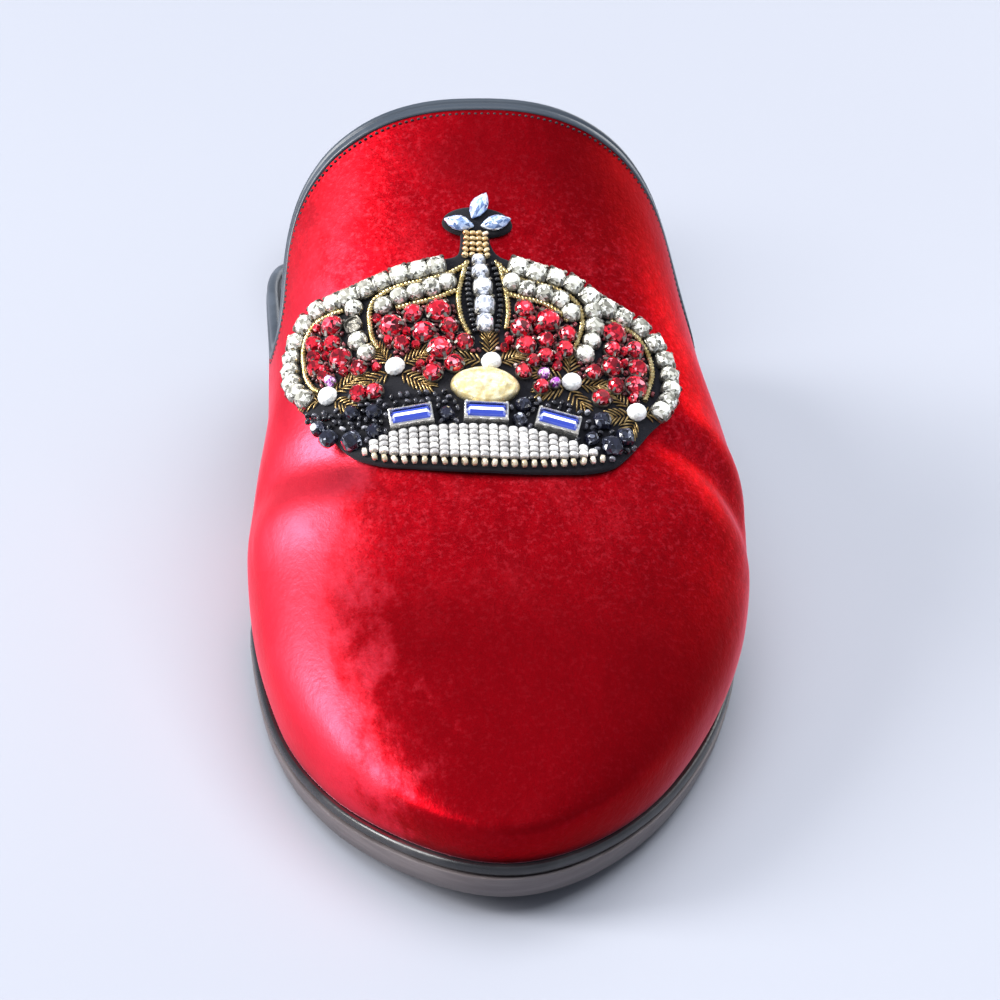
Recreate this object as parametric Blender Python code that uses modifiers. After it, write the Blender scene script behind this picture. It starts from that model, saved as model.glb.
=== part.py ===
"""Backless velvet slipper with a high rounded tongue and a jewelled crown on the vamp.

The shoe stands on z = 0 with its toe towards -Y. The origin is the centre of the heel's resting
face. In the tables a station is a share of LENGTH counted from the toe tip, and t is that distance.
"""

import math

import bpy
import numpy as np

MM = 0.001

# Sizes of the shoe. OUTSOLE_WAIST is where the slant of the outsole's side turns upright, as shares
# of its bevel and its thickness.
LENGTH = 288 * MM
BALL_WIDTH = 105 * MM
INSTEP_HEIGHT = 96 * MM
HEEL_BACK = 33 * MM
TOE_SPRING = 5.5 * MM
HEEL_HEIGHT = 15 * MM
OUTSOLE_THICK = 5.2 * MM
OUTSOLE_BEVEL = 1.3 * MM
OUTSOLE_WAIST = (0.35, 0.45)
RAND_THICK = 2.4 * MM
RAND_ROUND = 0.5 * MM
INSOLE_THICK = 2.0 * MM
TOP_LIFT_THICK = 5.7 * MM
HEEL_FRONT = 218 * MM
HEEL_INSET = 1.2 * MM
WALL = 2.2 * MM
LEDGE = 1.5 * MM
BINDING_RADIUS = 1.35 * MM
GAP = 0.3 * MM
INSOLE_CLEAR = 0.5 * MM
INSOLE_EDGE = 1.0 * MM
SEAM_EASE = 0.1 * MM

# Roundness of the plan at the toe and heel, and of the toe box seen from the side.
TOE_ROUND = 95 * MM
HEEL_ROUND = 34 * MM
TOE_BOX_ROUND = 60 * MM
TOE_BOX_FULL = 2.5
Y_TOE = HEEL_BACK - LENGTH

# The trim: where the crown's foot lies on the ridge, and how it is set.
CROWN_FOOT = 78 * MM
CROWN_SHIFT = -2.0 * MM
CROWN_SLANT = -0.08
FELT_LIFT = 0.35 * MM
FELT_THICK = 1.0 * MM
TRIM_LIFT = FELT_LIFT + FELT_THICK + GAP
CROWN_WIDTH = 93.2 * MM
CROWN_UNIT = CROWN_WIDTH / 100
OUTER_STONE = 3.8 * MM
INNER_STONE = 3.4 * MM
EDGING_WIDTH = 0.8 * MM
FIELD_HEIGHT = 2.4 * MM
ARCH_HEIGHT = 2.8 * MM
PILLAR_HEIGHT = 2.8 * MM
STONE_HEIGHT = 2.4 * MM
MEDALLION_HEIGHT = 2.2 * MM
BAGUETTE_HEIGHT = 1.9 * MM
BAND_HEIGHT = 0.9 * MM
PANEL_HEIGHT = 1.6 * MM
EDGING_HEIGHT = 1.0 * MM

# Resolution.
ACROSS = 28
SKIRT_STEPS = 4
OUTLINE_STEPS = 25
BINDING_STEPS = 56
FINE = 1200
FRONT_ROWS_END = 0.146 * LENGTH
BODY_ROWS_END = 0.569 * LENGTH
WING_ROWS_END = 0.743 * LENGTH
PATCH_CORNER = 0.028 * LENGTH
VAMP_ROWS = (0.14, 0.61, 136)
HUB_HEIGHT = 0.31 * INSTEP_HEIGHT

# station, medial, lateral: half widths of the sole as shares of BALL_WIDTH.
SOLE = np.array([
    (0.00, 0.400, 0.400),
    (0.10, 0.462, 0.458),
    (0.20, 0.476, 0.486),
    (0.31, 0.476, 0.500),
    (0.40, 0.430, 0.490),
    (0.50, 0.350, 0.438),
    (0.60, 0.288, 0.378),
    (0.70, 0.266, 0.340),
    (0.80, 0.280, 0.326),
    (0.89, 0.304, 0.316),
    (1.00, 0.304, 0.304),
])

# station, spring, heel: height of the sole's underside as shares of TOE_SPRING and HEEL_HEIGHT.
LIFT = np.array([
    (0.00, 1.00, 0.00),
    (0.05, 0.58, 0.00),
    (0.10, 0.28, 0.00),
    (0.16, 0.07, 0.00),
    (0.21, 0.00, 0.00),
    (0.42, 0.00, 0.00),
    (0.50, 0.00, 0.10),
    (0.58, 0.00, 0.32),
    (0.66, 0.00, 0.62),
    (0.74, 0.00, 0.88),
    (0.80, 0.00, 0.98),
    (0.86, 0.00, 1.00),
    (1.00, 0.00, 1.00),
])

# station, medial, lateral (shares of BALL_WIDTH), height of the widest line above the rand on
# each side and height of the ridge (shares of INSTEP_HEIGHT), fullness (exponent of the section).
UPPER = np.array([
    (0.00, 0.395, 0.395, 0.080, 0.080, 0.270, 2.50),
    (0.05, 0.440, 0.440, 0.090, 0.090, 0.315, 2.50),
    (0.12, 0.470, 0.480, 0.105, 0.105, 0.365, 2.45),
    (0.18, 0.480, 0.500, 0.125, 0.125, 0.415, 2.40),
    (0.24, 0.485, 0.512, 0.140, 0.140, 0.485, 2.35),
    (0.31, 0.482, 0.518, 0.160, 0.150, 0.590, 2.30),
    (0.38, 0.460, 0.510, 0.200, 0.180, 0.705, 2.30),
    (0.45, 0.430, 0.474, 0.250, 0.205, 0.835, 2.35),
    (0.52, 0.420, 0.446, 0.290, 0.240, 0.950, 2.45),
    (0.60, 0.416, 0.430, 0.330, 0.285, 1.060, 2.50),
    (0.70, 0.385, 0.405, 0.330, 0.300, 1.170, 2.50),
    (0.80, 0.350, 0.375, 0.330, 0.300, 1.250, 2.50),
])

# station, shift: the last's centre line as a share of BALL_WIDTH, medial being negative.
CENTRE = np.array([
    (0.00, -0.040),
    (0.12, -0.030),
    (0.31, -0.005),
    (0.60, 0.000),
    (1.00, 0.000),
])

# station, inside (1 within the upper, 0 on the open heel), lean: how far the insole lies inside the
# sole's edge, as so many walls where the upper leans over it.
INSOLE = np.array([
    (0.00, 1.0, 1.15),
    (0.30, 1.0, 1.15),
    (0.45, 1.0, 1.45),
    (0.66, 1.0, 1.55),
    (0.72, 1.0, 1.25),
    (0.77, 0.0, 1.25),
    (1.00, 0.0, 1.25),
])

# station, height as a share of INSTEP_HEIGHT: the topline seen from the side, from the wing's end
# round the notch to the peak.
TOPLINE = np.array([
    (0.7274, 0.125),
    (0.7188, 0.229),
    (0.7049, 0.302),
    (0.6701, 0.380),
    (0.6146, 0.432),
    (0.5556, 0.453),
    (0.5174, 0.458),
    (0.4931, 0.469),
    (0.4785, 0.500),
    (0.4757, 0.547),
    (0.4854, 0.594),
    (0.5052, 0.641),
    (0.5260, 0.698),
    (0.5403, 0.771),
    (0.5472, 0.854),
    (0.5503, 0.938),
    (0.5531, 1.021),
])
PEAK_FROM = 0.875 * INSTEP_HEIGHT

# The crown in its own plane, in hundredths of CROWN_WIDTH: u across from its centre, v up from its
# foot. Column tables are u, low, high. What a half of the crown has stands under -1 for the medial
# half and 1 for the lateral one.
BACKING = (
    (-46.8, 40.4, 46.6),
    (-45.6, 35.8, 50.0),
    (-43.6, 30.4, 53.4),
    (-39.6, 24.4, 55.4),
    (-36.6, 20.0, 55.3),
    (-33.8, 14.8, 55.1),
    (-29.4, 9.0, 54.5),
    (-23.2, 5.5, 55.1),
    (-16.1, 3.9, 56.0),
    (-8.6, 3.0, 57.3),
    (-4.6, 2.9, 58.2),
    (-3.2, 2.8, 62.7),
    (2.6, 2.8, 62.7),
    (4.6, 2.9, 58.6),
    (9.0, 3.0, 57.2),
    (16.1, 3.8, 56.2),
    (21.6, 5.0, 55.4),
    (27.6, 7.8, 52.2),
    (31.0, 11.6, 51.0),
    (34.6, 16.8, 50.5),
    (37.8, 21.7, 49.2),
    (40.4, 25.4, 47.2),
    (42.8, 30.4, 43.5),
    (44.2, 34.8, 39.5),
)
OUTER_FIELD = {
    -1: (
        (-42.0, 39.6, 45.6),
        (-40.4, 35.4, 48.0),
        (-38.0, 32.6, 50.2),
        (-34.0, 31.0, 50.4),
        (-31.6, 32.6, 49.2),
        (-30.4, 34.6, 48.2),
    ),
    1: (
        (26.9, 34.6, 46.0),
        (30.0, 30.4, 46.2),
        (33.6, 28.4, 45.4),
        (36.4, 28.6, 44.0),
        (38.4, 31.4, 42.0),
        (39.6, 34.6, 39.8),
    ),
}
INNER_FIELD = {
    -1: (
        (-22.8, 37.6, 42.4),
        (-21.4, 35.6, 44.2),
        (-18.2, 33.6, 45.4),
        (-13.9, 33.2, 46.2),
        (-8.6, 33.6, 47.0),
        (-4.9, 36.0, 47.6),
    ),
    1: (
        (5.2, 36.6, 47.8),
        (8.6, 34.2, 47.4),
        (13.9, 33.4, 46.4),
        (18.2, 33.6, 44.8),
        (19.9, 35.4, 43.2),
        (21.2, 38.8, 41.6),
    ),
}
BAND = (
    (-35.6, 19.6, 22.8),
    (-33.0, 15.0, 23.0),
    (-28.4, 11.0, 23.0),
    (-23.0, 13.0, 23.0),
    (-16.0, 14.2, 23.0),
    (-9.6, 14.6, 21.8),
    (-8.0, 14.7, 19.0),
    (0.0, 14.9, 18.9),
    (8.0, 14.3, 19.0),
    (9.6, 14.2, 21.8),
    (16.0, 13.0, 22.0),
    (22.6, 11.4, 21.6),
    (26.6, 10.6, 20.4),
    (31.6, 13.8, 17.6),
)
PANEL = (
    (-26.4, 10.2, 11.2),
    (-23.6, 8.0, 12.2),
    (-19.6, 6.9, 13.0),
    (-10.0, 5.6, 13.6),
    (0.0, 5.3, 13.9),
    (9.0, 5.5, 13.4),
    (15.4, 6.1, 12.2),
    (21.0, 7.6, 10.6),
    (24.4, 9.1, 9.9),
)
OUTER_ARCH = {
    -1: (
        (-9.1, 55.0),
        (-16.2, 53.9),
        (-22.7, 52.9),
        (-28.6, 52.1),
        (-34.3, 53.0),
        (-39.0, 53.2),
        (-42.3, 51.4),
        (-44.7, 47.8),
        (-45.2, 43.4),
        (-44.6, 38.2),
        (-42.4, 32.6),
        (-40.6, 30.2),
    ),
    1: (
        (8.8, 55.3),
        (14.5, 54.3),
        (20.5, 53.6),
        (24.6, 51.0),
        (29.6, 49.1),
        (35.4, 48.3),
        (39.3, 45.8),
        (41.8, 42.0),
        (42.8, 37.8),
        (42.3, 33.4),
        (40.4, 28.9),
        (39.2, 26.6),
    ),
}
INNER_ARCH = {
    -1: (
        (-7.0, 50.8),
        (-10.6, 49.6),
        (-14.0, 48.8),
        (-17.6, 48.2),
        (-21.4, 47.4),
        (-25.4, 46.6),
        (-27.7, 44.0),
        (-27.4, 39.6),
        (-25.4, 35.3),
    ),
    1: (
        (7.1, 51.3),
        (10.5, 49.9),
        (14.1, 49.2),
        (17.8, 47.8),
        (21.8, 46.4),
        (24.4, 43.8),
        (24.3, 39.8),
        (22.3, 35.3),
    ),
}
EDGING = (
    (-27.4, 9.6),
    (-23.6, 6.7),
    (-16.1, 5.0),
    (-8.6, 4.3),
    (0.0, 4.1),
    (8.6, 4.2),
    (16.1, 4.9),
    (22.6, 6.8),
    (26.2, 9.0),
)
# name, u, v, turn in degrees, half length, half width.
BAGUETTES = (
    ("baguette_medial", -16.2, 15.9, 5.0, 4.7, 2.0),
    ("baguette_middle", -0.2, 16.7, 0.0, 4.7, 2.0),
    ("baguette_lateral", 15.2, 15.6, -9.0, 4.7, 2.0),
)
MARQUISES = (
    ("marquise_top", 0.9, 70.6, 66.0, 3.8, 1.9),
    ("marquise_medial", -3.7, 65.9, 164.0, 3.5, 1.8),
    ("marquise_lateral", 4.4, 66.4, 20.0, 3.6, 1.8),
)
# name, u, v, half length, half width.
ROUNDS = (
    ("white_stone_1", -34.6, 27.3, 2.0, 1.9),
    ("white_stone_2", -19.2, 30.1, 2.0, 1.9),
    ("white_stone_3", 1.6, 30.7, 2.0, 1.9),
    ("white_stone_4", 19.0, 27.3, 2.0, 1.9),
    ("white_stone_5", 33.3, 23.6, 2.0, 1.9),
    ("medallion", 0.0, 23.9, 7.4, 4.4),
)
# u, v, half width, half length.
FINIAL_BACKING = (0.4, 67.0, 7.9, 4.0)
SETTING = (-0.4, 60.4, 2.6, 2.8)
PILLAR = (0.6, 48.0, 2.2, 8.8)
# Shares of the full width or height: a marquise's ends, and the rims of its stones.
MARQUISE_END = 0.12
MARQUISE_RIM = 0.4
ARCH_RIM = 0.6
PANEL_RIM = 0.5


def clear_scene():
    for obj in list(bpy.data.objects):
        bpy.data.objects.remove(obj)


def collection(name, hidden=False):
    made = bpy.data.collections.new(name)
    bpy.context.scene.collection.children.link(made)
    made.hide_render = hidden
    return made


def slopes(xs, ys):
    """Slopes of the monotone cubic through the points."""
    step = np.diff(xs)
    rise = np.diff(ys) / step
    found = np.zeros_like(ys)
    for i in range(1, len(xs) - 1):
        if rise[i - 1] * rise[i] > 0:
            first = 2 * step[i] + step[i - 1]
            second = step[i] + 2 * step[i - 1]
            found[i] = (first + second) / (first / rise[i - 1] + second / rise[i])
    found[0] = rise[0]
    found[-1] = rise[-1]
    return found


def follow(table, column, at):
    """One column of a table at any station, along a monotone cubic."""
    xs = table[:, 0]
    ys = table[:, column]
    tangent = slopes(xs, ys)
    at = np.clip(np.asarray(at, float), xs[0], xs[-1])
    i = np.clip(np.searchsorted(xs, at, side="right") - 1, 0, len(xs) - 2)
    step = xs[i + 1] - xs[i]
    s = (at - xs[i]) / step
    return (
        (1 + 2 * s) * (1 - s) ** 2 * ys[i]
        + s * (1 - s) ** 2 * step * tangent[i]
        + s * s * (3 - 2 * s) * ys[i + 1]
        + s * s * (s - 1) * step * tangent[i + 1]
    )


def smooth_path(points, count):
    """Points evenly spaced along a smooth curve through the given ones."""
    points = np.asarray(points, float)
    knots = np.concatenate([[0], np.cumsum(np.linalg.norm(np.diff(points, axis=0), axis=1) ** 0.5)])
    tangent = np.zeros_like(points)
    for i in range(1, len(points) - 1):
        before = knots[i] - knots[i - 1]
        after = knots[i + 1] - knots[i]
        back = (points[i] - points[i - 1]) / before
        ahead = (points[i + 1] - points[i]) / after
        tangent[i] = (back * after + ahead * before) / (before + after)
    tangent[0] = (points[1] - points[0]) / (knots[1] - knots[0])
    tangent[-1] = (points[-1] - points[-2]) / (knots[-1] - knots[-2])
    at = np.linspace(0, knots[-1], FINE)
    i = np.clip(np.searchsorted(knots, at, side="right") - 1, 0, len(knots) - 2)
    step = (knots[i + 1] - knots[i])[:, None]
    s = (at - knots[i])[:, None] / step
    curve = (
        (1 + 2 * s) * (1 - s) ** 2 * points[i]
        + s * (1 - s) ** 2 * step * tangent[i]
        + s * s * (3 - 2 * s) * points[i + 1]
        + s * s * (s - 1) * step * tangent[i + 1]
    )
    return evenly(curve, count)


def evenly(curve, count):
    """The curve resampled to points at equal distances."""
    run = np.concatenate([[0], np.cumsum(np.linalg.norm(np.diff(curve, axis=0), axis=1))])
    at = np.linspace(0, run[-1], count)
    return np.stack([np.interp(at, run, curve[:, k]) for k in range(curve.shape[1])], axis=1)


def cap(distance, radius, power=2.0):
    """Quarter ellipse, or a fuller curve for a higher power, that rises from 0 to 1 over the radius."""
    k = np.clip(1 - np.asarray(distance, float) / radius, 0, 1)
    return np.maximum(0, 1 - k**power) ** (1 / power)


def centre_x(t):
    return follow(CENTRE, 1, t / LENGTH) * BALL_WIDTH


def sole_half(t, side):
    width = follow(SOLE, 1 if side < 0 else 2, t / LENGTH) * BALL_WIDTH
    return width * cap(t, TOE_ROUND) * cap(LENGTH - t, HEEL_ROUND)


def under_z(t):
    station = t / LENGTH
    return follow(LIFT, 1, station) * TOE_SPRING + follow(LIFT, 2, station) * HEEL_HEIGHT


def rand_top(t):
    return under_z(t) + OUTSOLE_THICK + GAP + RAND_THICK


def upper_half(t, side):
    return follow(UPPER, 1 if side < 0 else 2, t / LENGTH) * BALL_WIDTH * cap(t, TOE_ROUND)


def wide_z(t, side):
    return rand_top(t) + follow(UPPER, 3 if side < 0 else 4, t / LENGTH) * INSTEP_HEIGHT


def dome(x, t):
    """Height of the upper's outer face over a point of its plan."""
    across = x - centre_x(t)
    reach = np.where(across < 0, upper_half(t, -1), upper_half(t, 1))
    r = np.clip(np.abs(across) / np.maximum(reach, 1e-9), 0, 1)
    share = 0.5 + 0.5 * np.sign(across) * r
    share = share * share * (3 - 2 * share)
    low = wide_z(t, -1) * (1 - share) + wide_z(t, 1) * share
    ridge = follow(UPPER, 5, t / LENGTH) * INSTEP_HEIGHT
    power = follow(UPPER, 6, t / LENGTH)
    rise = (ridge - low) * cap(t, TOE_BOX_ROUND, TOE_BOX_FULL)
    return low + rise * np.maximum(0, 1 - r**power) ** (1 / power)


def sole_outline(inset):
    """Lateral and medial edge of the sole moved inwards, as (t, x from the centre line) curves."""
    t = LENGTH * (1 - np.cos(np.linspace(0, math.pi, FINE))) / 2
    found = {}
    for side in (-1, 1):
        edge = np.stack([t, side * sole_half(t, side)], axis=1)
        along = np.gradient(edge, axis=0)
        along /= np.linalg.norm(along, axis=1)[:, None]
        inward = np.stack([along[:, 1], -along[:, 0]], axis=1) * side
        inward[0] = (1, 0)
        inward[-1] = (-1, 0)
        moved = edge + inward * np.broadcast_to(inset, (FINE,))[:, None]
        moved[0, 1] = 0
        moved[-1, 1] = 0
        found[side] = moved
    return found


def mesh_object(name, points, faces, into):
    mesh = bpy.data.meshes.new(name)
    mesh.from_pydata([tuple(p) for p in points], [], [tuple(f) for f in faces])
    mesh.validate()
    for face in mesh.polygons:
        face.use_smooth = True
    made = bpy.data.objects.new(name, mesh)
    into.objects.link(made)
    return made


def finish(obj, colour, roughness, metallic=0.0, transmission=0.0):
    material = bpy.data.materials.new(obj.name)
    material.use_nodes = True
    shader = material.node_tree.nodes["Principled BSDF"]
    shader.inputs["Base Color"].default_value = (*colour, 1)
    shader.inputs["Roughness"].default_value = roughness
    shader.inputs["Metallic"].default_value = metallic
    shader.inputs["Transmission Weight"].default_value = transmission
    obj.data.materials.append(material)
    return obj


def world(t, x, z):
    """Points of the shoe from distance behind the toe, offset from the centre line and height."""
    t = np.asarray(t, float)
    return np.stack(np.broadcast_arrays(centre_x(t) + x, Y_TOE + t, z), axis=-1)


def plate(name, levels, into, start=0.0):
    """Flat layer of the sole: each level is an inset from the sole's edge and a height curve.

    Args:
        levels: pairs from the bottom up, of inset and function from t to z.
        start: where the layer begins, 0 for the toe.
    """
    rings = []
    for inset, height in levels:
        edges = sole_outline(inset)
        ring = []
        for side in (1, -1):
            edge = edges[side]
            edge = edge[edge[:, 0] >= start]
            if start:
                x = np.interp(start, edges[side][:, 0], edges[side][:, 1])
                edge = np.concatenate([[(start, x)], edge])
            share = (1 - np.cos(np.linspace(0, math.pi, OUTLINE_STEPS + 1))) / 2
            run = np.linspace(0, 1, OUTLINE_STEPS + 1)
            place = evenly(edge, FINE)
            picked = place[np.round((0.45 * share + 0.55 * run) * (FINE - 1)).astype(int)]
            ring.append(picked if side > 0 else picked[::-1])
        lateral, medial = ring
        loop = np.concatenate([lateral, medial[1:-1] if not start else medial[1:]])
        rings.append(world(loop[:, 0], loop[:, 1], height(loop[:, 0])))
    count = len(rings[0])
    faces = []
    for level in range(len(rings) - 1):
        for i in range(count):
            j = (i + 1) % count
            a = level * count
            faces.append((a + i, a + j, a + count + j, a + count + i))
    for base, flip in ((0, True), ((len(rings) - 1) * count, False)):
        lateral = [base + i for i in range(OUTLINE_STEPS + 1)]
        if start:
            medial = [base + count - 1 - i for i in range(OUTLINE_STEPS)] + [base + OUTLINE_STEPS]
        else:
            medial = [base] + [base + count - i for i in range(1, OUTLINE_STEPS)] + [base + OUTLINE_STEPS]
        for i in range(OUTLINE_STEPS):
            face = []
            for corner in (lateral[i], lateral[i + 1], medial[i + 1], medial[i]):
                if corner not in face:
                    face.append(corner)
            faces.append(face[::-1] if flip else face)
    return mesh_object(name, np.concatenate(rings), faces, into)


def dome_rows():
    """Distances behind the toe tip of the sampled rows, close together over the toe box."""
    front = FRONT_ROWS_END * (1 - np.cos(np.linspace(0, math.pi / 2, 8)))
    body = np.linspace(FRONT_ROWS_END, BODY_ROWS_END, 22)[1:]
    wings = np.linspace(BODY_ROWS_END, WING_ROWS_END, 6)[1:]
    return np.concatenate([front, body, wings])


def upper_surface():
    """Points and faces of the upper's outer face: a patch over the plan, and a skirt below it."""
    rows = dome_rows()
    end = rows[-1]
    corner = PATCH_CORNER
    turn = math.acos(1 - corner / TOE_ROUND)
    across = (1 - np.cos(np.linspace(0, math.pi, ACROSS + 1))) / 2
    angle = (2 * across - 1) * turn
    front_t = TOE_ROUND * (1 - np.cos(angle))
    front_half = np.where(angle < 0, upper_half(front_t, -1), upper_half(front_t, 1))
    front = np.stack([centre_x(front_t) + np.sign(angle) * front_half, front_t], axis=1)
    v = rows / end
    side_t = corner + (end - corner) * v
    left = np.stack([centre_x(side_t) - upper_half(side_t, -1), side_t], axis=1)
    right = np.stack([centre_x(side_t) + upper_half(side_t, 1), side_t], axis=1)
    back = left[-1] + (right[-1] - left[-1]) * across[:, None]
    u = across[None, :, None]
    w = v[:, None, None]
    plan = (1 - w) * front[None] + w * back[None] + (1 - u) * left[:, None] + u * right[:, None]
    plan -= (1 - u) * (1 - w) * front[0] + u * (1 - w) * front[-1]
    plan -= (1 - u) * w * back[0] + u * w * back[-1]
    x = plan[..., 0]
    t = plan[..., 1]
    points = np.stack([x, Y_TOE + t, dome(x, t)], axis=-1).reshape(-1, 3)
    wide = ACROSS + 1
    faces = []
    for j in range(len(rows) - 1):
        for i in range(ACROSS):
            a = j * wide + i
            faces.append((a, a + 1, a + 1 + wide, a + wide))
    last = len(rows) - 1
    rim = [j * wide for j in range(last, 0, -1)] + list(range(wide))
    rim += [j * wide + ACROSS for j in range(1, last + 1)]
    flat = plan.reshape(-1, 2)[rim]
    offset = flat[:, 0] - centre_x(flat[:, 1])
    edges = sole_outline(LEDGE)
    foot_t = np.where(flat[:, 1] < TOE_ROUND, LEDGE + flat[:, 1] * (1 - LEDGE / TOE_ROUND), flat[:, 1])
    medial_foot = np.interp(foot_t, edges[-1][:, 0], edges[-1][:, 1])
    lateral_foot = np.interp(foot_t, edges[1][:, 0], edges[1][:, 1])
    foot_x = np.where(offset < 0, medial_foot, lateral_foot)
    top_z = points[rim, 2]
    foot_z = rand_top(foot_t) + GAP
    previous = rim
    for step in range(1, SKIRT_STEPS + 1):
        s = step / SKIRT_STEPS
        ring_t = flat[:, 1] + (foot_t - flat[:, 1]) * s * s
        ring_x = offset + (foot_x - offset) * s * s
        ring = world(ring_t, ring_x, top_z + (foot_z - top_z) * s)
        first = len(points)
        points = np.concatenate([points, ring])
        current = list(range(first, first + len(rim)))
        for i in range(len(rim) - 1):
            faces.append((previous[i], current[i], current[i + 1], previous[i + 1]))
        previous = current
    return points, faces


def half_at(t, z, side):
    """Offset of the upper's outer face from the centre line at a height on one side."""
    reach = upper_half(t, side)
    low = np.zeros_like(t)
    high = reach.copy()
    for _ in range(40):
        middle = (low + high) / 2
        above = dome(centre_x(t) + side * middle, t) > z
        low = np.where(above, middle, low)
        high = np.where(above, high, middle)
    edge = sole_outline(LEDGE)[side]
    foot = np.abs(np.interp(t, edge[:, 0], edge[:, 1]))
    top = wide_z(t, side)
    s = np.clip((top - z) / (top - rand_top(t) - GAP), 0, 1)
    return np.where(z >= top, low, reach + (foot - reach) * s * s)


def surface_normal(x, t):
    """Outward unit normal of the vamp over a point of its plan."""
    step = 0.05 * MM
    dx = (dome(x + step, t) - dome(x - step, t)) / (2 * step)
    dt = (dome(x, t + step) - dome(x, t - step)) / (2 * step)
    normal = np.stack([-dx, -dt, np.ones_like(dx)], axis=-1)
    return normal / np.linalg.norm(normal, axis=-1)[..., None]


def topline_side(path, side):
    """The topline on one side of the upper's outer face, from the wing's end to the peak."""
    lower = path[path[:, 1] < PEAK_FROM]
    upper = path[path[:, 1] >= PEAK_FROM]
    x = half_at(lower[:, 0], lower[:, 1], side)
    run = world(lower[:, 0], side * x, lower[:, 1])
    more = x[-1] * np.cos(np.linspace(0, math.pi / 2, 60))[1:]
    t = np.full(len(more), upper[0, 0])
    for _ in range(30):
        z = dome(centre_x(t) + side * more, t)
        t = np.interp(z, upper[:, 1], upper[:, 0])
    return np.concatenate([run, world(t, side * more, z)])


def topline_curve(outward, inward):
    """The closed run of the topline over both sides, moved off the rim and into the wall."""
    path = smooth_path(TOPLINE * (LENGTH, INSTEP_HEIGHT), 500)
    along = np.gradient(path, axis=0)
    along /= np.linalg.norm(along, axis=1)[:, None]
    path = path + np.stack([along[:, 1], -along[:, 0]], axis=1) * outward
    keep = path[:, 1] > rand_top(path[:, 0]) + GAP + outward
    path = path[keep]
    medial = topline_side(path, -1)
    lateral = topline_side(path, 1)
    curve = np.concatenate([medial, lateral[::-1][1:]])
    centre = centre_x(curve[:, 1] - Y_TOE)
    hub = np.stack([centre, curve[:, 1], np.full(len(curve), HUB_HEIGHT)], axis=1)
    toward = hub - curve
    side_on = np.abs(curve[:, 0] - centre) > 0.6 * np.abs(curve[:, 0] - centre).max()
    toward[side_on, 2] *= 0.25
    toward /= np.linalg.norm(toward, axis=1)[:, None]
    return evenly(curve + toward * inward, BINDING_STEPS)


def tube(name, curve, radius, into):
    data = bpy.data.curves.new(name, "CURVE")
    data.dimensions = "3D"
    data.bevel_depth = radius
    data.bevel_resolution = 2
    data.use_fill_caps = True
    spline = data.splines.new("POLY")
    spline.points.add(len(curve) - 1)
    for point, place in zip(spline.points, curve):
        point.co = (*place, 1)
    made = bpy.data.objects.new(name, data)
    into.objects.link(made)
    return made


def topline_cutter(into):
    """Block that leaves the upper below and ahead of the topline."""
    path = smooth_path(TOPLINE * (LENGTH, INSTEP_HEIGHT), 70)
    outline = [(p[0], p[1]) for p in path]
    outline.append((path[-1, 0], 2 * INSTEP_HEIGHT))
    outline.append((LENGTH, 2 * INSTEP_HEIGHT))
    outline.append((LENGTH, -HEEL_HEIGHT))
    outline.append((path[0, 0], -HEEL_HEIGHT))
    points = []
    for x in (-BALL_WIDTH, BALL_WIDTH):
        points += [(x, Y_TOE + t, z) for t, z in outline]
    count = len(outline)
    faces = [list(range(count)), list(range(2 * count - 1, count - 1, -1))]
    for i in range(count):
        j = (i + 1) % count
        faces.append((i, i + count, j + count, j))
    made = mesh_object("topline_cutter", points, faces, into)
    made.hide_render = True
    made.display_type = "WIRE"
    return made


class Vamp:
    """Places points on the vamp by arc lengths: across from the ridge, and up along it."""

    def __init__(self):
        self.t = np.linspace(VAMP_ROWS[0] * LENGTH, VAMP_ROWS[1] * LENGTH, VAMP_ROWS[2])
        share = np.sin(np.linspace(-math.pi / 2, math.pi / 2, 401))
        self.x = []
        self.arc = []
        for t in self.t:
            reach = np.where(share < 0, upper_half(t, -1), upper_half(t, 1))
            x = centre_x(t) + reach * share
            z = dome(x, np.full_like(x, t))
            run = np.concatenate([[0], np.cumsum(np.hypot(np.diff(x), np.diff(z)))])
            self.x.append(x)
            self.arc.append(run - run[200])
        ridge = dome(centre_x(self.t), self.t)
        run = np.concatenate([[0], np.cumsum(np.hypot(np.diff(self.t), np.diff(ridge)))])
        self.up = run - np.interp(CROWN_FOOT, self.t, run)

    def place(self, uv, lift):
        """World points of points of the crown, lifted off the vamp."""
        uv = np.asarray(uv, float)
        a = uv[..., 0] + CROWN_SHIFT
        b = uv[..., 1] + CROWN_SLANT * uv[..., 0]
        t = np.interp(b, self.up, self.t)
        row = np.clip((t - self.t[0]) / (self.t[1] - self.t[0]), 0, len(self.t) - 1.001)
        low = row.astype(int)
        part = row - low
        x = np.empty_like(a)
        for i in np.ndindex(a.shape):
            first = np.interp(a[i], self.arc[low[i]], self.x[low[i]])
            second = np.interp(a[i], self.arc[low[i] + 1], self.x[low[i] + 1])
            x[i] = first + (second - first) * part[i]
        normal = surface_normal(x, t)
        foot = np.stack([x, Y_TOE + t, dome(x, t)], axis=-1)
        return foot + normal * np.asarray(lift)[..., None]


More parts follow.
